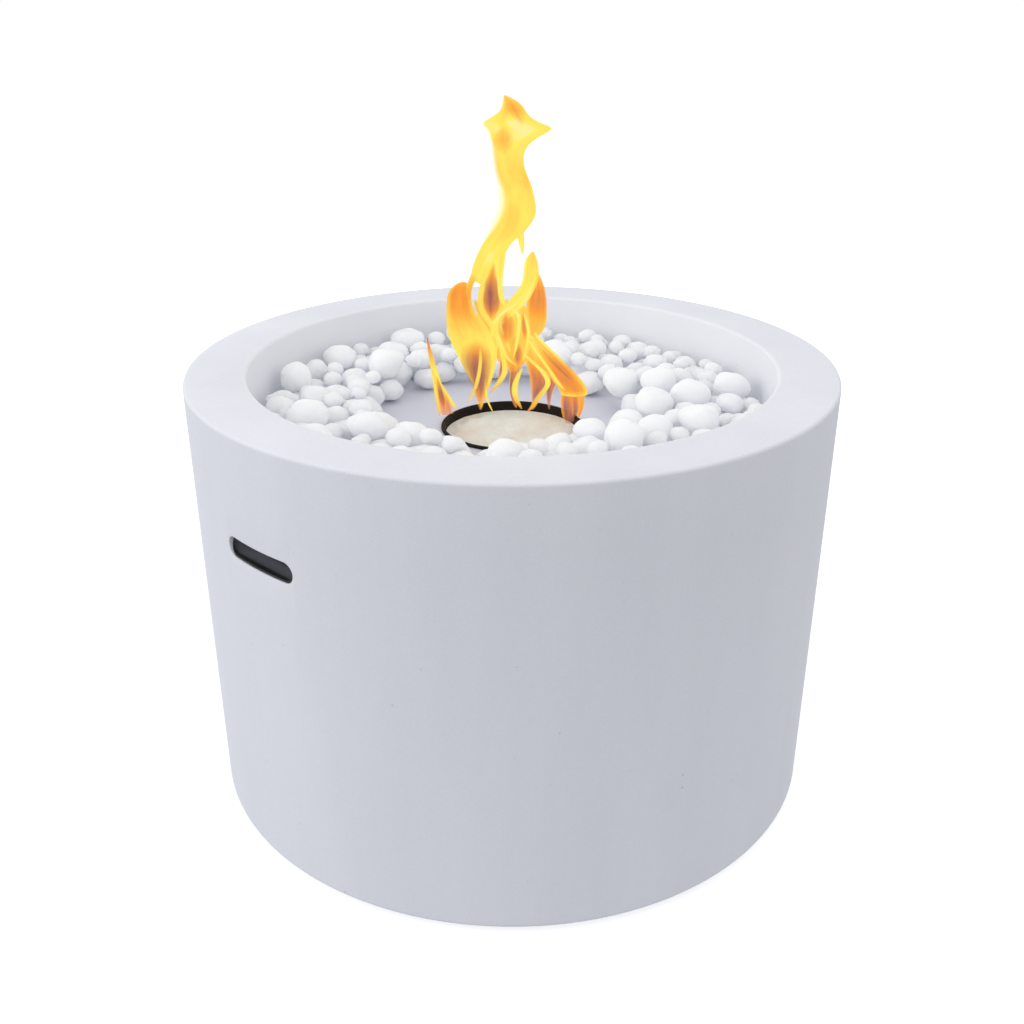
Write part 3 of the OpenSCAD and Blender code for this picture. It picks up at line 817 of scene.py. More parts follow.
# Flame: tongues grown ring by ring from the wool. Each row is
# (sideways, towards the front, height above the wool, half width, half depth, heat, body), all lengths in mm.
# Heat runs from 0, brown, to 1, pale yellow. Body is how much the tongue hides what is behind it.
# An eighth number is how far out the left side stays whole before it fades.
flame = {
    "sides": 8,
    "smoothing": 2,
    "lift": 0.0002,                      # above the wool
    "patches": (                         # stains in other tongues
        "lobeCore", "eye", "pocketLow", "pocketRight", "darkFold",
        "armFold", "curtainVein", "spikeCore", "headGlow", "tipGlow",
    ),
    "tongues": {
        "column": [
            (-18.5, -1, 107, 5.5, 2.4, 0.70, 0.9),
            (-19.4, 0, 112.5, 11.6, 5, 0.86, 1),
            (-15.8, 0, 124.4, 10.9, 7.5, 0.92, 1),
            (-11, 0, 135.6, 10.6, 9, 0.88, 1, 0.75),
            (-4.1, 0, 142, 13.4, 10, 0.80, 1, 0.65),
            (-1, 0, 147.8, 15, 10, 0.80, 1, 0.5),
            (1.9, 0, 153.6, 16.2, 10, 0.80, 1, 0.36),
            (2.9, 0, 159.3, 15.2, 10, 0.80, 1, 0.3),
            (2.6, 0, 165, 14.2, 9.6, 0.82, 1, 0.32),
            (2.1, 0, 171, 13.4, 9.2, 0.80, 1, 0.42),
            (0.3, 0, 177, 12.8, 9, 0.74, 1, 0.52),
            (-1.7, 0, 183, 11.9, 8.6, 0.74, 1, 0.58),
            (-2.8, 0, 190, 11.4, 8, 0.78, 1, 0.6),
            (-2.6, 0, 198, 12.6, 7.4, 0.86, 1, 0.65),
            (2, 0, 205, 18, 7, 0.92, 1),
            (7, 0, 209.5, 26, 6, 0.96, 1),
            (-2, 0, 213, 22, 6, 0.94, 0.95),
            (-0.2, 0, 217.5, 11.9, 5, 0.84, 1),
            (0.8, 0, 222, 8.4, 4.4, 0.66, 1),
            (-1, 0, 226.5, 6, 3.4, 0.66, 1),
            (-5, 0, 230, 0.7, 0.7, 0.72, 0.9),
        ],
        "columnLeg": [
            (-29.9, -2, 93.5, 1, 1, 0.40, 0.6),
            (-30.4, -1, 101, 2, 1.9, 0.44, 0.9),
            (-28.6, 0, 108.5, 2.9, 2.6, 0.54, 1),
            (-25, 0, 115, 3.8, 3.2, 0.70, 1),
            (-20.4, 0, 122, 2.8, 2.4, 0.82, 0.9),
        ],
        "columnFoot": [
            (7.2, 2, 128, 0.9, 0.9, 0.85, 0.8),
            (6.6, 2, 134, 2.2, 2, 0.86, 1),
            (6, 1, 140, 3, 3, 0.84, 1),
            (5, 0, 147, 3, 3, 0.82, 0.8),
        ],
        "leftLobe": [
            (-24, -43, 1, 0.9, 0.9, 0.50, 0.3),
            (-23.5, -38, 10, 3, 2.8, 0.46, 0.5),
            (-23, -33, 19, 5.4, 4.4, 0.46, 0.5),
            (-22.5, -29, 27, 7, 5, 0.52, 0.55),
            (-22.8, -25, 34, 9.6, 6, 0.62, 0.65),
            (-23.5, -21, 42, 12.8, 7, 0.70, 0.8),
            (-24.5, -17, 49, 15, 8, 0.76, 0.95),
            (-25.5, -14, 56, 16.8, 9, 0.78, 1),
            (-26.8, -11, 62, 17.8, 10, 0.80, 1),
            (-28.8, -9, 68, 17.8, 10, 0.80, 1),
            (-31.2, -7, 74, 16.6, 10, 0.76, 1),
            (-33.8, -5, 81, 13.6, 9, 0.64, 1),
            (-35.8, -4, 87, 11.2, 8, 0.52, 1),
            (-36.8, -4, 93, 9.8, 7, 0.42, 1),
            (-36.6, -4, 99, 9.4, 6, 0.36, 1),
            (-35.6, -4, 104, 8, 5, 0.38, 1),
            (-33.6, -4, 108.5, 4, 3, 0.50, 0.9),
        ],
        "lobeCore": [
            (-24.3, -33, 10, 1.2, 1, 0.30, 0.3),
            (-24, -25, 21, 4.4, 1.5, 0.10, 0.85),
            (-24, -19, 30, 6.8, 1.5, 0.03, 0.95),
            (-24.6, -14, 38.5, 9.4, 1.5, 0.02, 1),
            (-25.2, -6.5, 48.5, 12, 1.5, 0.04, 0.95),
            (-25.5, -2.5, 56, 12.8, 1.5, 0.14, 0.8),
            (-25.4, 1.5, 63, 11, 1.5, 0.36, 0.5),
            (-25, 4, 70, 5, 1.2, 0.70, 0.1),
        ],
        "lobeFill": [
            (-9.3, -16, 47, 0.8, 0.8, 0.50, 0.5),
            (-10.6, -16, 56, 3.6, 3, 0.54, 0.9),
            (-12.8, -15, 65, 5, 4, 0.58, 1),
            (-15.6, -14, 73, 5.2, 4.4, 0.60, 1),
            (-18.6, -12, 80, 4.8, 4, 0.60, 1),
            (-21.6, -10, 86, 4, 3.4, 0.56, 1),
            (-24.2, -9, 91, 2.6, 2.4, 0.54, 0.95),
            (-26, -8, 95, 0.8, 0.8, 0.54, 0.6),
        ],
        "rightLobe": [
            (15, -1, 69, 2, 2, 0.70, 0.9),
            (16.5, 0, 76, 7.2, 6, 0.60, 1),
            (17, 1, 83, 8.2, 7, 0.50, 1),
            (16.7, 2, 91, 8.2, 7, 0.36, 1),
            (17, 2, 98, 7.6, 6, 0.28, 1),
            (17.5, 2, 104, 6, 5, 0.30, 1),
            (18, 2, 110, 3.8, 4, 0.45, 1),
            (17, 2, 117, 1, 1, 0.64, 0.9),
        ],
        "yellowBand": [
            (-14, 5, 70, 1.2, 1.2, 0.80, 0.7),
            (-12, 7, 78, 4, 3, 0.82, 0.9),
            (-7, 8, 86, 6.5, 4, 0.84, 0.95),
            (0, 8, 93, 7.5, 5, 0.88, 1),
            (5.5, 7, 99.5, 7.4, 5, 0.90, 1),
            (10.5, 6, 106, 6.2, 5, 0.88, 1),
            (13, 5, 114, 6.2, 5, 0.86, 1),
            (13, 4, 121, 6.2, 5, 0.84, 1),
            (13, 4, 126.5, 4.8, 4, 0.82, 1),
            (14, 3, 131, 1, 1, 0.80, 0.9),
        ],
        "backSheet": [
            (-6, -26, 40, 1, 1, 0.50, 0.6),
            (-7, -24, 50, 5, 6, 0.56, 0.9),
            (-7, -22, 60, 9, 9, 0.60, 1),
            (-7, -20, 70, 10, 10, 0.62, 1),
            (-6, -17, 80, 9, 10, 0.64, 1),
            (-5, -14, 88, 6, 8, 0.66, 1),
            (-4, -12, 94, 1, 1, 0.66, 0.7),
        ],
        "centreSheet": [
            (0.7, -18, 39, 3.2, 2.6, 0.30, 0.7),
            (1.5, -13, 46.5, 6.8, 4, 0.46, 0.9),
            (3.2, -9, 53, 11.2, 5, 0.58, 1),
            (3.6, -6, 59.5, 13, 5, 0.62, 1),
            (2.8, -3, 67.5, 13.7, 5, 0.64, 1),
            (2.1, -1, 75.5, 14.3, 5, 0.66, 1),
            (1.1, 1, 83, 14.6, 5, 0.68, 1),
            (0.7, 2, 89, 13.4, 5, 0.74, 1),
            (1.7, 3, 96, 6, 4, 0.80, 1),
        ],
        "eye": [
            (-4.4, 9, 66.5, 1, 0.9, 0.62, 0.4),
            (-4.2, 10.5, 73.5, 5, 2, 0.36, 0.9),
            (-3.8, 11.5, 80.5, 6.8, 2, 0.28, 0.95),
            (-4, 12, 87, 5.8, 1.8, 0.32, 0.95),
            (-4, 12, 93.5, 1.4, 0.9, 0.60, 0.4),
        ],
        "pocketLow": [
            (4, 0, 48.5, 1, 0.8, 0.45, 0.4),
            (4.2, 2, 55, 3.8, 1.4, 0.18, 0.85),
            (4.2, 4, 62, 4, 1.4, 0.22, 0.85),
            (3.6, 6, 69, 1.4, 0.9, 0.50, 0.4),
        ],
        "pocketRight": [
            (9, 4, 69, 0.9, 0.8, 0.50, 0.4),
            (8.6, 6.4, 76.5, 2.8, 1.2, 0.30, 0.85),
            (8.2, 7.6, 84, 2.8, 1.2, 0.32, 0.85),
            (8, 8, 91.5, 0.9, 0.8, 0.60, 0.4),
        ],
        "arm": [
            (45.5, -16, 22, 10, 4, 0.78, 0.95),
            (45.3, -16, 23.4, 10.9, 4.6, 0.70, 1),
            (44.6, -15.5, 27, 11.6, 5.4, 0.40, 1),
            (42, -14, 32, 11.9, 6, 0.34, 1),
            (37, -12, 38.5, 11.6, 6.4, 0.30, 1),
            (31.5, -9, 45.5, 10.9, 6.6, 0.34, 1),
            (26.3, -6, 52, 10, 6.6, 0.44, 1),
            (21.8, -4, 58.5, 8.6, 6, 0.56, 1),
            (17.6, -2, 65, 6.8, 5, 0.68, 1),
            (14, -1, 70.5, 5, 4, 0.76, 1),
            (13, 0, 77, 1.6, 1.6, 0.80, 0.9),
        ],
        "armEdge": [
            (39, -5, 48, 0.6, 0.6, 0.66, 0.5),
            (33, -2, 55, 1.3, 1.2, 0.82, 0.95),
            (27, 0, 61, 1.4, 1.3, 0.88, 1),
            (22, 2, 66, 1.4, 1.3, 0.90, 1),
            (17.8, 3, 71, 1.3, 1.2, 0.90, 1),
            (14.2, 4, 77, 0.7, 0.7, 0.88, 0.6),
        ],
        "armVein": [
            (38.7, -10, 27.5, 0.7, 0.7, 0.74, 0.6),
            (33.5, -7, 34, 1.7, 1.5, 0.84, 0.95),
            (29.7, -5, 40, 1.8, 1.6, 0.86, 1),
            (26, -2, 47, 1.8, 1.6, 0.88, 1),
            (20, 1, 56, 1.8, 1.6, 0.90, 1),
            (14.3, 4, 65.5, 1.6, 1.5, 0.90, 1),
            (10.8, 5, 72, 0.7, 0.7, 0.88, 0.6),
        ],
        "armFold": [
            (45.5, -8, 34, 1, 0.8, 0.30, 0.3),
            (39, -5, 41.5, 3.4, 1.4, 0.14, 0.75),
            (33, -2, 48.5, 3.8, 1.4, 0.12, 0.8),
            (27, 1, 55.5, 3, 1.4, 0.20, 0.7),
            (21.5, 3, 62, 1, 0.8, 0.40, 0.3),
        ],
        "curtain": [
            (41, -17, 0, 2.6, 2, 0.06, 0.2),
            (42.5, -18, 4, 5.6, 3, 0.02, 0.55),
            (43.4, -18.5, 9, 8, 3.2, 0.03, 0.75),
            (43, -18, 16, 8.5, 3.2, 0.09, 0.78),
            (42.5, -17, 22.5, 8, 3, 0.20, 0.85),
            (42, -16, 28, 5, 2.6, 0.40, 0.8),
        ],
        "curtainVein": [
            (44.5, -14, 5, 0.6, 0.6, 0.20, 0.3),
            (44.2, -13.5, 11, 1.6, 1, 0.26, 0.6),
            (43.6, -13, 18, 1.9, 1, 0.32, 0.65),
            (43, -12.5, 24, 0.8, 0.8, 0.42, 0.4),
        ],
        "rod": [
            (48, -10, 6.8, 1, 1, 0.34, 0.7),
            (50, -11.5, 12, 1.8, 1.7, 0.38, 0.95),
            (51, -14, 18, 2.2, 2, 0.42, 1),
            (51, -15.5, 24.5, 2.4, 2, 0.46, 1),
            (49.7, -15, 30, 1.2, 1.2, 0.50, 0.8),
        ],
        "skirtRight": [
            (28, -39, 3, 0.6, 0.6, 0.30, 0.2),
            (27.4, -34, 12.5, 1.8, 1.6, 0.12, 0.6),
            (27.3, -28, 21.5, 3, 2.4, 0.06, 0.78),
            (29, -23, 29, 3.8, 2.6, 0.10, 0.85),
            (30.4, -18, 36, 4, 2.8, 0.26, 0.9),
            (29.2, -14, 42.5, 1.8, 1.6, 0.50, 0.8),
        ],
        "skirtMiddle": [
            (15.5, -42.5, 1.5, 0.7, 0.7, 0.30, 0.15),
            (17, -38.5, 8, 2.4, 2, 0.16, 0.5),
            (18.3, -34, 16, 4.6, 3.4, 0.10, 0.7),
            (20, -28, 25, 7, 4.5, 0.10, 0.8),
            (19.7, -21, 34, 7.4, 5, 0.14, 0.82),
            (18, -14, 43, 7.2, 5, 0.28, 0.9),
            (16.4, -9, 50, 8.2, 5, 0.48, 1),
            (14.9, -7, 56, 7, 4, 0.62, 1),
            (13.6, -5, 62, 4.4, 3, 0.66, 1),
            (12.8, -4, 67, 1.6, 1.4, 0.66, 0.9),
        ],
        "foldGlow": [
            (-14.8, -6, 79.5, 0.9, 0.8, 0.66, 0.6),
            (-14.6, -6, 84, 4.6, 2.2, 0.56, 0.85),
            (-14.5, -6, 89.5, 7.6, 3, 0.50, 0.95),
            (-14.6, -6, 95.5, 8.4, 3, 0.46, 1),
            (-14.8, -5, 103, 8.2, 3, 0.48, 1),
            (-14.7, -2, 109, 6.6, 3, 0.56, 1),
            (-14, 2, 115, 4, 2.6, 0.62, 1),
            (-13.4, 4, 121, 1.4, 1.4, 0.72, 0.8),
        ],
        "darkFold": [
            (-14.6, 0, 84, 0.9, 0.8, 0.40, 0.4),
            (-14.3, 0, 89, 5, 1.5, 0.12, 0.9),
            (-14.2, 0, 95, 6.8, 1.5, 0.00, 1),
            (-14.3, 2, 102, 6.8, 1.5, 0.02, 1),
            (-14.3, 5, 108, 5.6, 1.5, 0.10, 1),
            (-13.8, 8, 114, 3.8, 1.4, 0.24, 0.95),
            (-13, 9.5, 120, 2, 1.2, 0.40, 0.7),
            (-12.2, 10, 125, 0.8, 0.8, 0.60, 0.3),
        ],
        "gapStrand": [
            (-9, -6, 60, 0.8, 0.8, 0.80, 0.7),
            (-11, -2, 72, 2.2, 2, 0.86, 1),
            (-14.5, 2, 81, 2.8, 2.6, 0.86, 1),
            (-20.5, 3, 88, 2.4, 2.2, 0.80, 1),
            (-22.5, 3, 95, 2.2, 2, 0.74, 1),
            (-21, 3, 104, 2.4, 2.2, 0.80, 1),
            (-18, 2, 114, 3, 2.4, 0.82, 1),
            (-15, 1, 124, 1.4, 1.4, 0.80, 0.8),
        ],
        "centreStrand": [
            (-2, 6, 90, 1.2, 1.2, 0.86, 0.8),
            (-7, 6, 97, 2.2, 2.1, 0.88, 1),
            (-8.1, 5, 104, 2.1, 2, 0.88, 1),
            (-8.1, 5, 112, 2.2, 2, 0.86, 1),
            (-7.4, 4, 120, 2.6, 2.2, 0.84, 1),
            (-6.6, 3, 128, 2.8, 2.2, 0.82, 1),
            (-6, 2, 136, 1.4, 1.4, 0.80, 0.8),
        ],
        "crossStreak": [
            (4, -6, 47.5, 0.6, 0.6, 0.80, 0.5),
            (-2, -2, 52.7, 1.5, 1.4, 0.86, 0.95),
            (-5.3, 1, 58, 1.6, 1.5, 0.88, 1),
            (-8, 4, 66, 1.7, 1.6, 0.90, 1),
            (-10.7, 6, 74, 1.9, 1.7, 0.90, 1),
            (-12.5, 8, 81.5, 2, 1.8, 0.92, 1),
            (-10, 10, 87, 2, 1.8, 0.96, 1),
            (-5.8, 12, 91.6, 2.1, 1.9, 0.98, 1),
            (-0.3, 13, 95.3, 2, 1.8, 0.98, 0.95),
            (5, 12, 99.2, 0.9, 0.9, 0.94, 0.6),
        ],
        "loopRight": [
            (0.7, 2, 55.4, 0.6, 0.6, 0.84, 0.5),
            (2.5, 5, 63, 1.4, 1.3, 0.86, 0.9),
            (3.6, 7, 70.5, 1.5, 1.4, 0.88, 0.95),
            (4.8, 9, 79.6, 1.6, 1.4, 0.90, 1),
            (5.4, 11, 87, 1.6, 1.5, 0.94, 1),
            (3, 13, 92, 1.6, 1.5, 0.98, 0.95),
            (-1.7, 13, 95, 0.7, 0.7, 0.96, 0.6),
        ],
        "innerLoop": [
            (-1.4, 2, 59.7, 0.6, 0.6, 0.84, 0.5),
            (-3, 5, 67, 1.2, 1.1, 0.86, 0.9),
            (-6, 8, 73.6, 1.2, 1.1, 0.88, 0.95),
            (-8.2, 10, 81.3, 1.2, 1.1, 0.92, 0.95),
            (-7.2, 12, 87.4, 1, 1, 0.96, 0.9),
            (-4.4, 13, 91, 0.6, 0.6, 0.96, 0.5),
        ],
        "innerRight": [
            (8, 0, 53, 0.6, 0.6, 0.82, 0.5),
            (9.5, 3, 60.7, 1.4, 1.3, 0.86, 0.9),
            (10.8, 5, 67, 1.5, 1.4, 0.88, 0.95),
            (12, 7, 74.8, 1.5, 1.4, 0.90, 0.95),
            (10, 9, 83.8, 1.4, 1.3, 0.92, 0.9),
            (8, 10, 91, 0.6, 0.6, 0.92, 0.5),
        ],
        "strandRight": [
            (11, -43, 0, 0.8, 0.8, 0.36, 0.4),
            (15.3, -38, 5, 2.1, 1.9, 0.46, 0.8),
            (18.6, -32, 14.5, 2.4, 2.1, 0.66, 0.95),
            (24, -24, 24, 2.4, 2.1, 0.80, 1),
            (27, -18, 30.5, 2.3, 2, 0.86, 1),
            (24.5, -11, 39, 2.3, 2, 0.90, 1),
            (18.8, -4, 47.7, 2.2, 1.9, 0.88, 1),
            (12.2, 1, 54.6, 1.8, 1.6, 0.86, 0.9),
            (7.4, 3, 60.7, 0.7, 0.7, 0.84, 0.5),
        ],
        "strandMiddle": [
            (7.6, -43, 2, 0.9, 0.9, 0.44, 0.4),
            (3.4, -36, 11.5, 2.3, 2, 0.60, 0.85),
            (1.6, -30, 19.5, 2.7, 2.2, 0.80, 0.95),
            (2.1, -23, 29, 2.5, 2.1, 0.86, 1),
            (4.4, -16, 37, 2, 1.8, 0.86, 0.95),
            (7.5, -8, 46.5, 0.8, 0.8, 0.82, 0.6),
        ],
        "strandHook": [
            (-17, -39, 16, 0.9, 0.9, 0.40, 0.25),
            (-11, -30, 25.5, 2.3, 2, 0.64, 0.85),
            (-5.1, -20, 37, 2.5, 2.1, 0.80, 1),
            (-5, -12, 46, 2.3, 2, 0.84, 1),
            (-7, -2, 59, 1.8, 1.6, 0.86, 0.9),
            (-8.7, 2, 66, 0.7, 0.7, 0.86, 0.5),
        ],
        "hookShade": [
            (-10.8, -36, 22, 0.8, 0.8, 0.30, 0.5),
            (-8.8, -31, 28.5, 2.2, 2, 0.12, 0.75),
            (-7, -23, 39.5, 2.6, 2.2, 0.08, 0.8),
            (-6.8, -15, 49.5, 2.2, 2, 0.20, 0.8),
            (-6.7, -9, 57, 0.8, 0.8, 0.45, 0.6),
        ],
        "strandDark": [
            (3.4, -43, 3, 1.2, 1.2, 0.22, 0.5),
            (0.4, -37, 13.5, 2.1, 1.8, 0.06, 0.7),
            (-0.3, -31, 23, 2.3, 2, 0.05, 0.78),
            (1.1, -20, 37.5, 3.1, 2.6, 0.10, 0.82),
            (1.5, -10, 49.5, 3.4, 2.8, 0.26, 0.85),
            (1.8, -4, 58.5, 1.6, 1.6, 0.50, 0.7),
        ],
        "lobeLeftEdge": [
            (-24.5, -36, 18, 0.8, 0.8, 0.62, 0.5),
            (-27, -29, 27, 2, 1.8, 0.70, 0.8),
            (-30.5, -24, 36, 2.6, 2.4, 0.76, 0.9),
            (-34, -18, 46, 2.8, 2.6, 0.80, 0.9),
            (-37.5, -13, 56, 2.2, 2.2, 0.80, 0.8),
            (-40, -9, 65, 0.9, 0.9, 0.80, 0.4),
        ],
        "lobeVein": [
            (-34, -41, 7, 0.7, 0.7, 0.60, 0.5),
            (-28, -27, 21, 1.7, 1.6, 0.70, 0.85),
            (-25.5, -15, 32, 1.7, 1.6, 0.76, 0.9),
            (-23.5, -7, 41.5, 1.6, 1.5, 0.78, 0.9),
            (-22, 2, 54, 1.5, 1.4, 0.78, 0.8),
            (-22.3, 5, 64.5, 0.7, 0.7, 0.80, 0.4),
        ],
        "lobeEdge": [
            (-24, -43, 2, 0.7, 0.7, 0.56, 0.6),
            (-21.5, -35, 15.5, 1.6, 1.5, 0.66, 0.9),
            (-18.5, -29, 24.5, 1.9, 1.8, 0.74, 0.9),
            (-15, -20, 37, 2, 1.9, 0.80, 0.9),
            (-12.5, -12, 50, 1.8, 1.7, 0.82, 0.8),
            (-10.2, -4, 67, 0.7, 0.7, 0.84, 0.5),
        ],
        "thinStrand": [
            (-14.5, -43, 0, 0.6, 0.6, 0.80, 0.6),
            (-17.7, -38, 8.5, 0.9, 0.9, 0.84, 0.95),
            (-19.2, -32, 16.5, 1, 1, 0.84, 0.95),
            (-19.6, -26, 25.5, 0.9, 0.9, 0.84, 0.8),
            (-19.3, -20, 34.5, 0.5, 0.5, 0.82, 0.5),
        ],
        "spike": [
            (-48.4, -22.6, 5, 5.2, 2, 0.22, 0.35),
            (-48.4, -22.5, 5.6, 5.6, 2.2, 0.22, 0.4),
            (-48.7, -21.5, 10, 5.9, 2.6, 0.26, 0.6),
            (-50.4, -20.5, 17, 5.1, 2.8, 0.34, 0.8),
            (-52.8, -18.5, 25, 3.8, 2.8, 0.56, 0.95),
            (-54.4, -15, 33.7, 3.1, 2.6, 0.78, 1),
            (-56.2, -11, 44, 2.8, 2.4, 0.82, 1),
            (-57.6, -8, 53, 2, 1.8, 0.64, 1),
            (-58.8, -5, 62, 1.1, 1.1, 0.30, 1),
            (-59.6, -3, 69.5, 0.4, 0.4, 0.04, 1),
        ],
        "spikeEdge": [
            (-53.2, -18.5, 5.2, 0.7, 0.7, 0.44, 0.4),
            (-53.8, -17.5, 10.5, 1.2, 1.1, 0.62, 0.8),
            (-54.6, -16, 17.4, 1.3, 1.2, 0.72, 0.85),
            (-55.7, -14, 27.3, 1.4, 1.3, 0.80, 0.9),
            (-56.4, -11, 36.5, 1.2, 1.1, 0.80, 0.8),
            (-57.2, -8, 45, 0.5, 0.5, 0.74, 0.4),
        ],
        "spikeCore": [
            (-49.7, -14, 12, 1, 0.9, 0.20, 0.3),
            (-50.9, -13, 20, 2.6, 1.4, 0.05, 0.85),
            (-51.8, -11.5, 26.6, 2.4, 1.4, 0.05, 0.9),
            (-52.9, -10, 33, 1.6, 1.2, 0.22, 0.7),
            (-54.1, -8, 39.7, 0.6, 0.6, 0.50, 0.3),
        ],
        "spikeFoot": [
            (-41, -33.8, 5.4, 0.9, 0.9, 0.66, 0.5),
            (-43.6, -31, 10, 1.7, 1.5, 0.80, 0.9),
            (-46.5, -26.5, 16.5, 1.7, 1.5, 0.84, 0.95),
            (-49.3, -21, 24, 1.5, 1.4, 0.82, 0.9),
            (-50.9, -16, 31, 0.7, 0.7, 0.78, 0.5),
        ],
        "headGlow": [
            (-5.5, 11, 193.5, 1, 0.8, 0.70, 0.15),
            (-5.8, 11, 198.5, 6, 1.5, 0.56, 0.5),
            (-6.1, 11, 203.5, 8.6, 1.5, 0.48, 0.65),
            (-6.1, 10.5, 208.5, 6.6, 1.5, 0.56, 0.5),
            (-5.4, 10, 212.5, 1, 0.8, 0.70, 0.15),
        ],
        "tipGlow": [
            (7, 7.5, 211.5, 1, 0.8, 0.70, 0.15),
            (4.6, 7.5, 216.5, 5.4, 1.3, 0.52, 0.45),
            (2.3, 7, 221, 6.4, 1.3, 0.40, 0.6),
            (0.3, 6, 225.2, 5, 1.2, 0.44, 0.5),
            (-2.5, 5.5, 229, 0.9, 0.8, 0.66, 0.2),
        ],
    },
    "colours": [
        (0.00, (0.37, 0.135, 0.105)),
        (0.20, (0.76, 0.25, 0.075)),
        (0.40, (1.0, 0.36, 0.050)),
        (0.60, (1.0, 0.56, 0.085)),
        (0.80, (1.0, 0.76, 0.125)),
        (0.90, (1.0, 0.85, 0.135)),
        (1.00, (1.0, 0.89, 0.32)),
    ],
    "edgeHeat": 0.84,
    "edgeStart": 0.62,
    "flicker": 0.12,
    "streaks": (1.7, 1.1, 1),
    "streakLength": 30,                  # mm
    "streakStep": 17,                    # so that no two tongues have the same streaks
    "firm": (0.4, 0.8, 25),              # of a thin strand and a broad tongue, and the mm of width that add 1
    "trim": 0.25,                        # what stays of a tongue's body at its edge
    "patchFirm": 0.05,
    "fadedTrim": 0.04,
}


def flameFinish():
    mat, shader, place = newFinish("flame_glow")

    def stored(label):
        return addNode(mat, "ShaderNodeAttribute", {}, attribute_name=label).outputs["Fac"]

    edge = maths(mat, "ABSOLUTE", stored("across"))
    warmth = stored("warmth")
    toEdgeHeat = maths(mat, "SUBTRACT", flame["edgeHeat"], warmth)
    trim = stored("trim")
    nearEdge = spread(mat, edge, flame["edgeStart"], 1.0, 0.0, maths(mat, "MULTIPLY", trim, 3.0))
    rim = maths(mat, "MULTIPLY", toEdgeHeat, nearEdge)
    flow = addNode(mat, "ShaderNodeCombineXYZ", {"X": stored("across"), "Y": stored("along")})
    streak = noise(mat, stretched(mat, flow.outputs["Vector"], flame["streaks"]), 1.0, detail=2)
    flicker = spread(mat, streak, 0.25, 0.75, -flame["flicker"], flame["flicker"])
    heat = maths(mat, "ADD", maths(mat, "ADD", warmth, rim), flicker, clamp=True)
    colour = ramp(mat, heat, flame["colours"])
    fade = spread(mat, edge, stored("firm"), 1.0, 1.0, trim)
    wire(mat, shader, {
        "Base Color": (0, 0, 0, 1),
        "Roughness": 1.0,
        "Specular IOR Level": 0.0,
        "Emission Color": colour,
        "Emission Strength": 1.0,
        "Alpha": maths(mat, "MULTIPLY", stored("body"), fade),
    })
    return mat


def growTongue(name, rows, number):
    clearPick()
    bpy.ops.mesh.primitive_circle_add(vertices=flame["sides"], radius=1, fill_type="NGON")
    obj = bpy.context.object
    obj.name = name
    bpy.ops.object.mode_set(mode="EDIT")
    bpy.ops.mesh.select_mode(type="FACE")
    bpy.ops.mesh.select_all(action="SELECT")
    side, front, height, wide, deep = rows[0][:5]
    bpy.ops.transform.resize(value=(wide * mm, deep * mm, 1), center_override=(0, 0, 0))
    bpy.ops.transform.translate(value=(side * mm, -front * mm, height * mm))
    for before, row in zip(rows, rows[1:]):
        step = ((row[0] - before[0]) * mm, (before[1] - row[1]) * mm, (row[2] - before[2]) * mm)
        bpy.ops.mesh.extrude_region_move(TRANSFORM_OT_translate={"value": step})
        centre = (row[0] * mm, -row[1] * mm, row[2] * mm)
        bpy.ops.transform.resize(value=(row[3] / before[3], row[4] / before[4], 1), center_override=centre)
    bpy.ops.object.mode_set(mode="OBJECT")
    # Each ring keeps its heat, its body, where its edges soften, how much stays of them
    # and how far across the tongue each corner lies. A patch fades out towards its edges.
    patch = name in flame["patches"]
    thinFirm, broadFirm, firmWidth = flame["firm"]
    for label in ("across", "along", "warmth", "body", "firm", "trim"):
        obj.data.attributes.new(label, "FLOAT", "POINT")
    stored = obj.data.attributes
    for vertex in obj.data.vertices:
        row = min(rows, key=lambda row: abs(row[2] * mm - vertex.co.z))
        stored["across"].data[vertex.index].value = (vertex.co.x / mm - row[0]) / row[3]
        along = row[2] / flame["streakLength"] + flame["streakStep"] * number
        stored["along"].data[vertex.index].value = along
        stored["warmth"].data[vertex.index].value = row[5]
        stored["body"].data[vertex.index].value = row[6]
        firm, trim = min(broadFirm, thinFirm + row[3] / firmWidth), flame["trim"]
        if patch:
            firm, trim = flame["patchFirm"], 0.0
        elif len(row) > 7 and vertex.co.x / mm < row[0]:
            firm, trim = row[7], flame["fadedTrim"]
        stored["firm"].data[vertex.index].value = firm
        stored["trim"].data[vertex.index].value = trim
    closeUp(obj, smoothAngle=180)
    applyModifier(obj, "SUBSURF", levels=flame["smoothing"], render_levels=flame["smoothing"])
    return obj


def flamePiece():
    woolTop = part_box("wool_core")[1].z
    tongues = [growTongue(name, rows, n) for n, (name, rows) in enumerate(flame["tongues"].items())]
    obj = joined(tongues, "flame_tongues")
    obj.rotation_euler = (0, 0, turn)
    obj.location = (0, 0, woolTop + flame["lift"])
    pickOnly(obj)
    bpy.ops.object.transform_apply(location=True, rotation=True, scale=True)
    obj.visible_shadow = False           # in this bright light the flame neither shades nor lights the stones
    obj.visible_diffuse = False
    finishPiece(obj, "burner", "flame", flameFinish(), "flame")
    print("flame grown,", len(obj.data.polygons), "faces")


flamePiece()


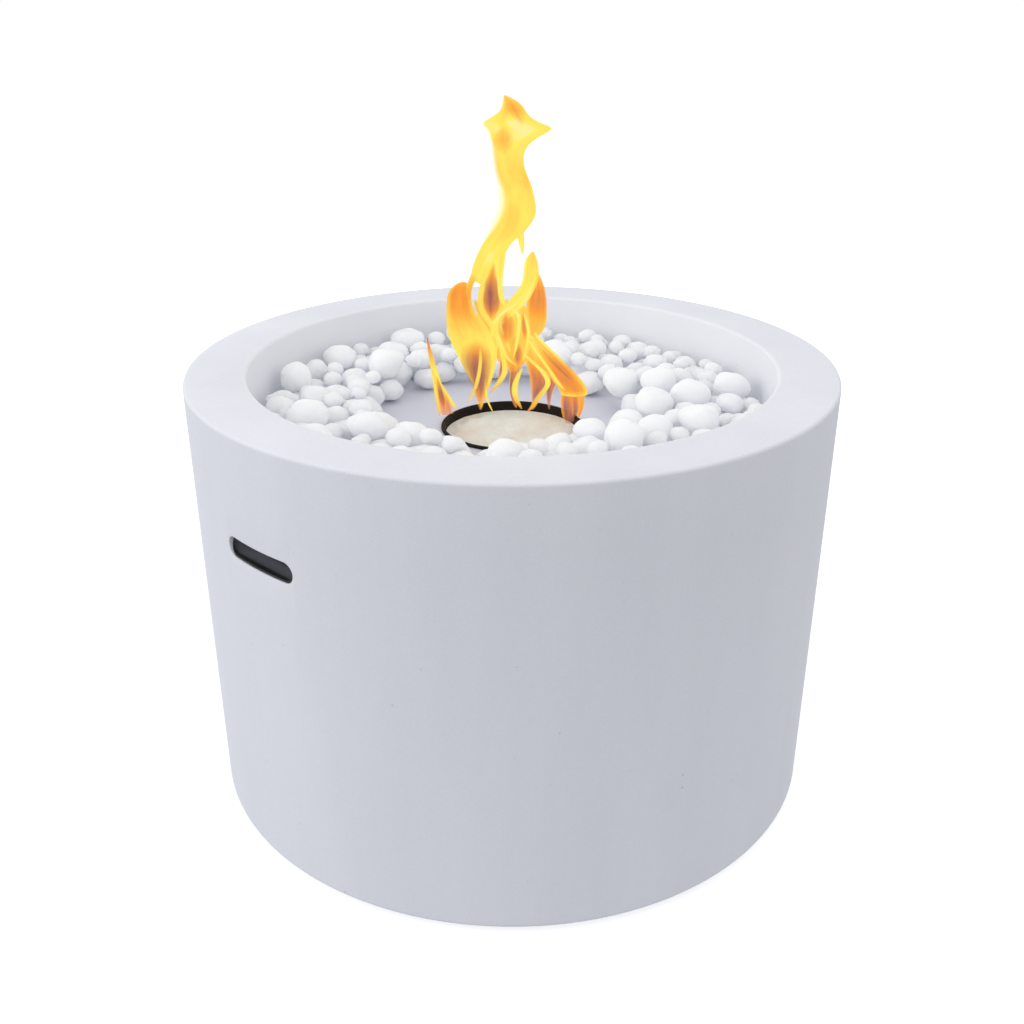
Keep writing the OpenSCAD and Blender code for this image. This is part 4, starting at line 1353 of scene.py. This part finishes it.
# Pieces that keep their CAD shape get a finish for their slot:
# dark colour, light colour, fineness of the grain and range of roughness
keptFinishes = {
    "base_board": ((0.36, 0.36, 0.37), (0.47, 0.47, 0.48), 60, (0.75, 0.92)),
    "brass": ((0.68, 0.50, 0.22), (0.76, 0.60, 0.32), 220, (0.25, 0.42)),
    "zinc_steel": ((0.56, 0.57, 0.59), (0.68, 0.69, 0.71), 260, (0.28, 0.45)),
    "rubber": ((0.022, 0.022, 0.023), (0.045, 0.045, 0.046), 180, (0.75, 0.95)),
    "fibre_felt": ((0.55, 0.53, 0.48), (0.68, 0.66, 0.60), 320, (0.9, 1.0)),
}
metals = ("brass", "zinc_steel")


def keptFinish(slot, dark, light, fineness, rough):
    mat, shader, place = newFinish(slot)
    cloud = noise(mat, place, fineness, detail=5, roughness=0.6)
    grain = noise(mat, place, fineness * 14, detail=2)
    wire(mat, shader, {
        "Base Color": ramp(mat, cloud, [(0.3, dark), (0.7, light)]),
        "Roughness": spread(mat, grain, 0.3, 0.7, *rough),
        "Metallic": 1.0 if slot in metals else 0.0,
        "Normal": bump(mat, grain, 0.0001, 0.5),
    })
    return mat


def spangleFinish():
    mat, shader, place = newFinish("galvanised_steel")
    flake = cells(mat, place, 190, output="Color")
    tone = ramp(mat, flake, [(0.2, (0.52, 0.53, 0.55)), (0.8, (0.61, 0.62, 0.64))])
    wire(mat, shader, {
        "Base Color": tone,
        "Roughness": spread(mat, flake, 0.0, 1.0, 0.32, 0.52),
        "Metallic": 1.0,
        "Normal": bump(mat, noise(mat, place, 400), 0.00005, 0.4),
    })
    return mat


# The hand slots' liners are nearly black at the lip and paler further in: painted shade at the lip and
# painted light deeper in
liner = {
    "back": 0.197,                       # from the drum's middle
    "lip": 0.2215,
    "shadeAndLightTones": [
        (0.00, (0.34, 0.35, 0.39)),
        (0.50, (0.28, 0.288, 0.322)),
        (0.75, (0.20, 0.206, 0.232)),
        (0.88, (0.12, 0.124, 0.14)),
        (0.955, (0.013, 0.014, 0.016)),
    ],
}


def linerFinish():
    mat, shader, place = newFinish("dark_plastic")
    outward = lengthOf(mat, stretched(mat, place, (1, 0, 0)))
    # Painted shade at the lip and painted light further in
    tone = ramp(mat, spread(mat, outward, liner["back"], liner["lip"]), liner["shadeAndLightTones"])
    cloud = noise(mat, place, 90, detail=5, roughness=0.6)
    grain = noise(mat, place, 1260, detail=2)
    shade = ramp(mat, cloud, [(0.3, (0.88, 0.88, 0.88)), (0.7, (1.0, 1.0, 1.0))])
    wire(mat, shader, {
        "Base Color": blendColour(mat, 1.0, tone, shade, "MULTIPLY"),
        "Roughness": spread(mat, grain, 0.3, 0.7, 0.5, 0.65),
        "Specular IOR Level": 0.3,
        "Normal": bump(mat, grain, 0.0001, 0.5),
    })
    return mat


finishes = {slot: keptFinish(slot, *look) for slot, look in keptFinishes.items()}
finishes["galvanised_steel"] = spangleFinish()
finishes["dark_plastic"] = linerFinish()
for part in frame["record"]["subparts"]:
    if part["material_slot"] in finishes:
        for holder in cadNodes[part["node"]].material_slots:
            holder.material = finishes[part["material_slot"]]
print("kept pieces finished")
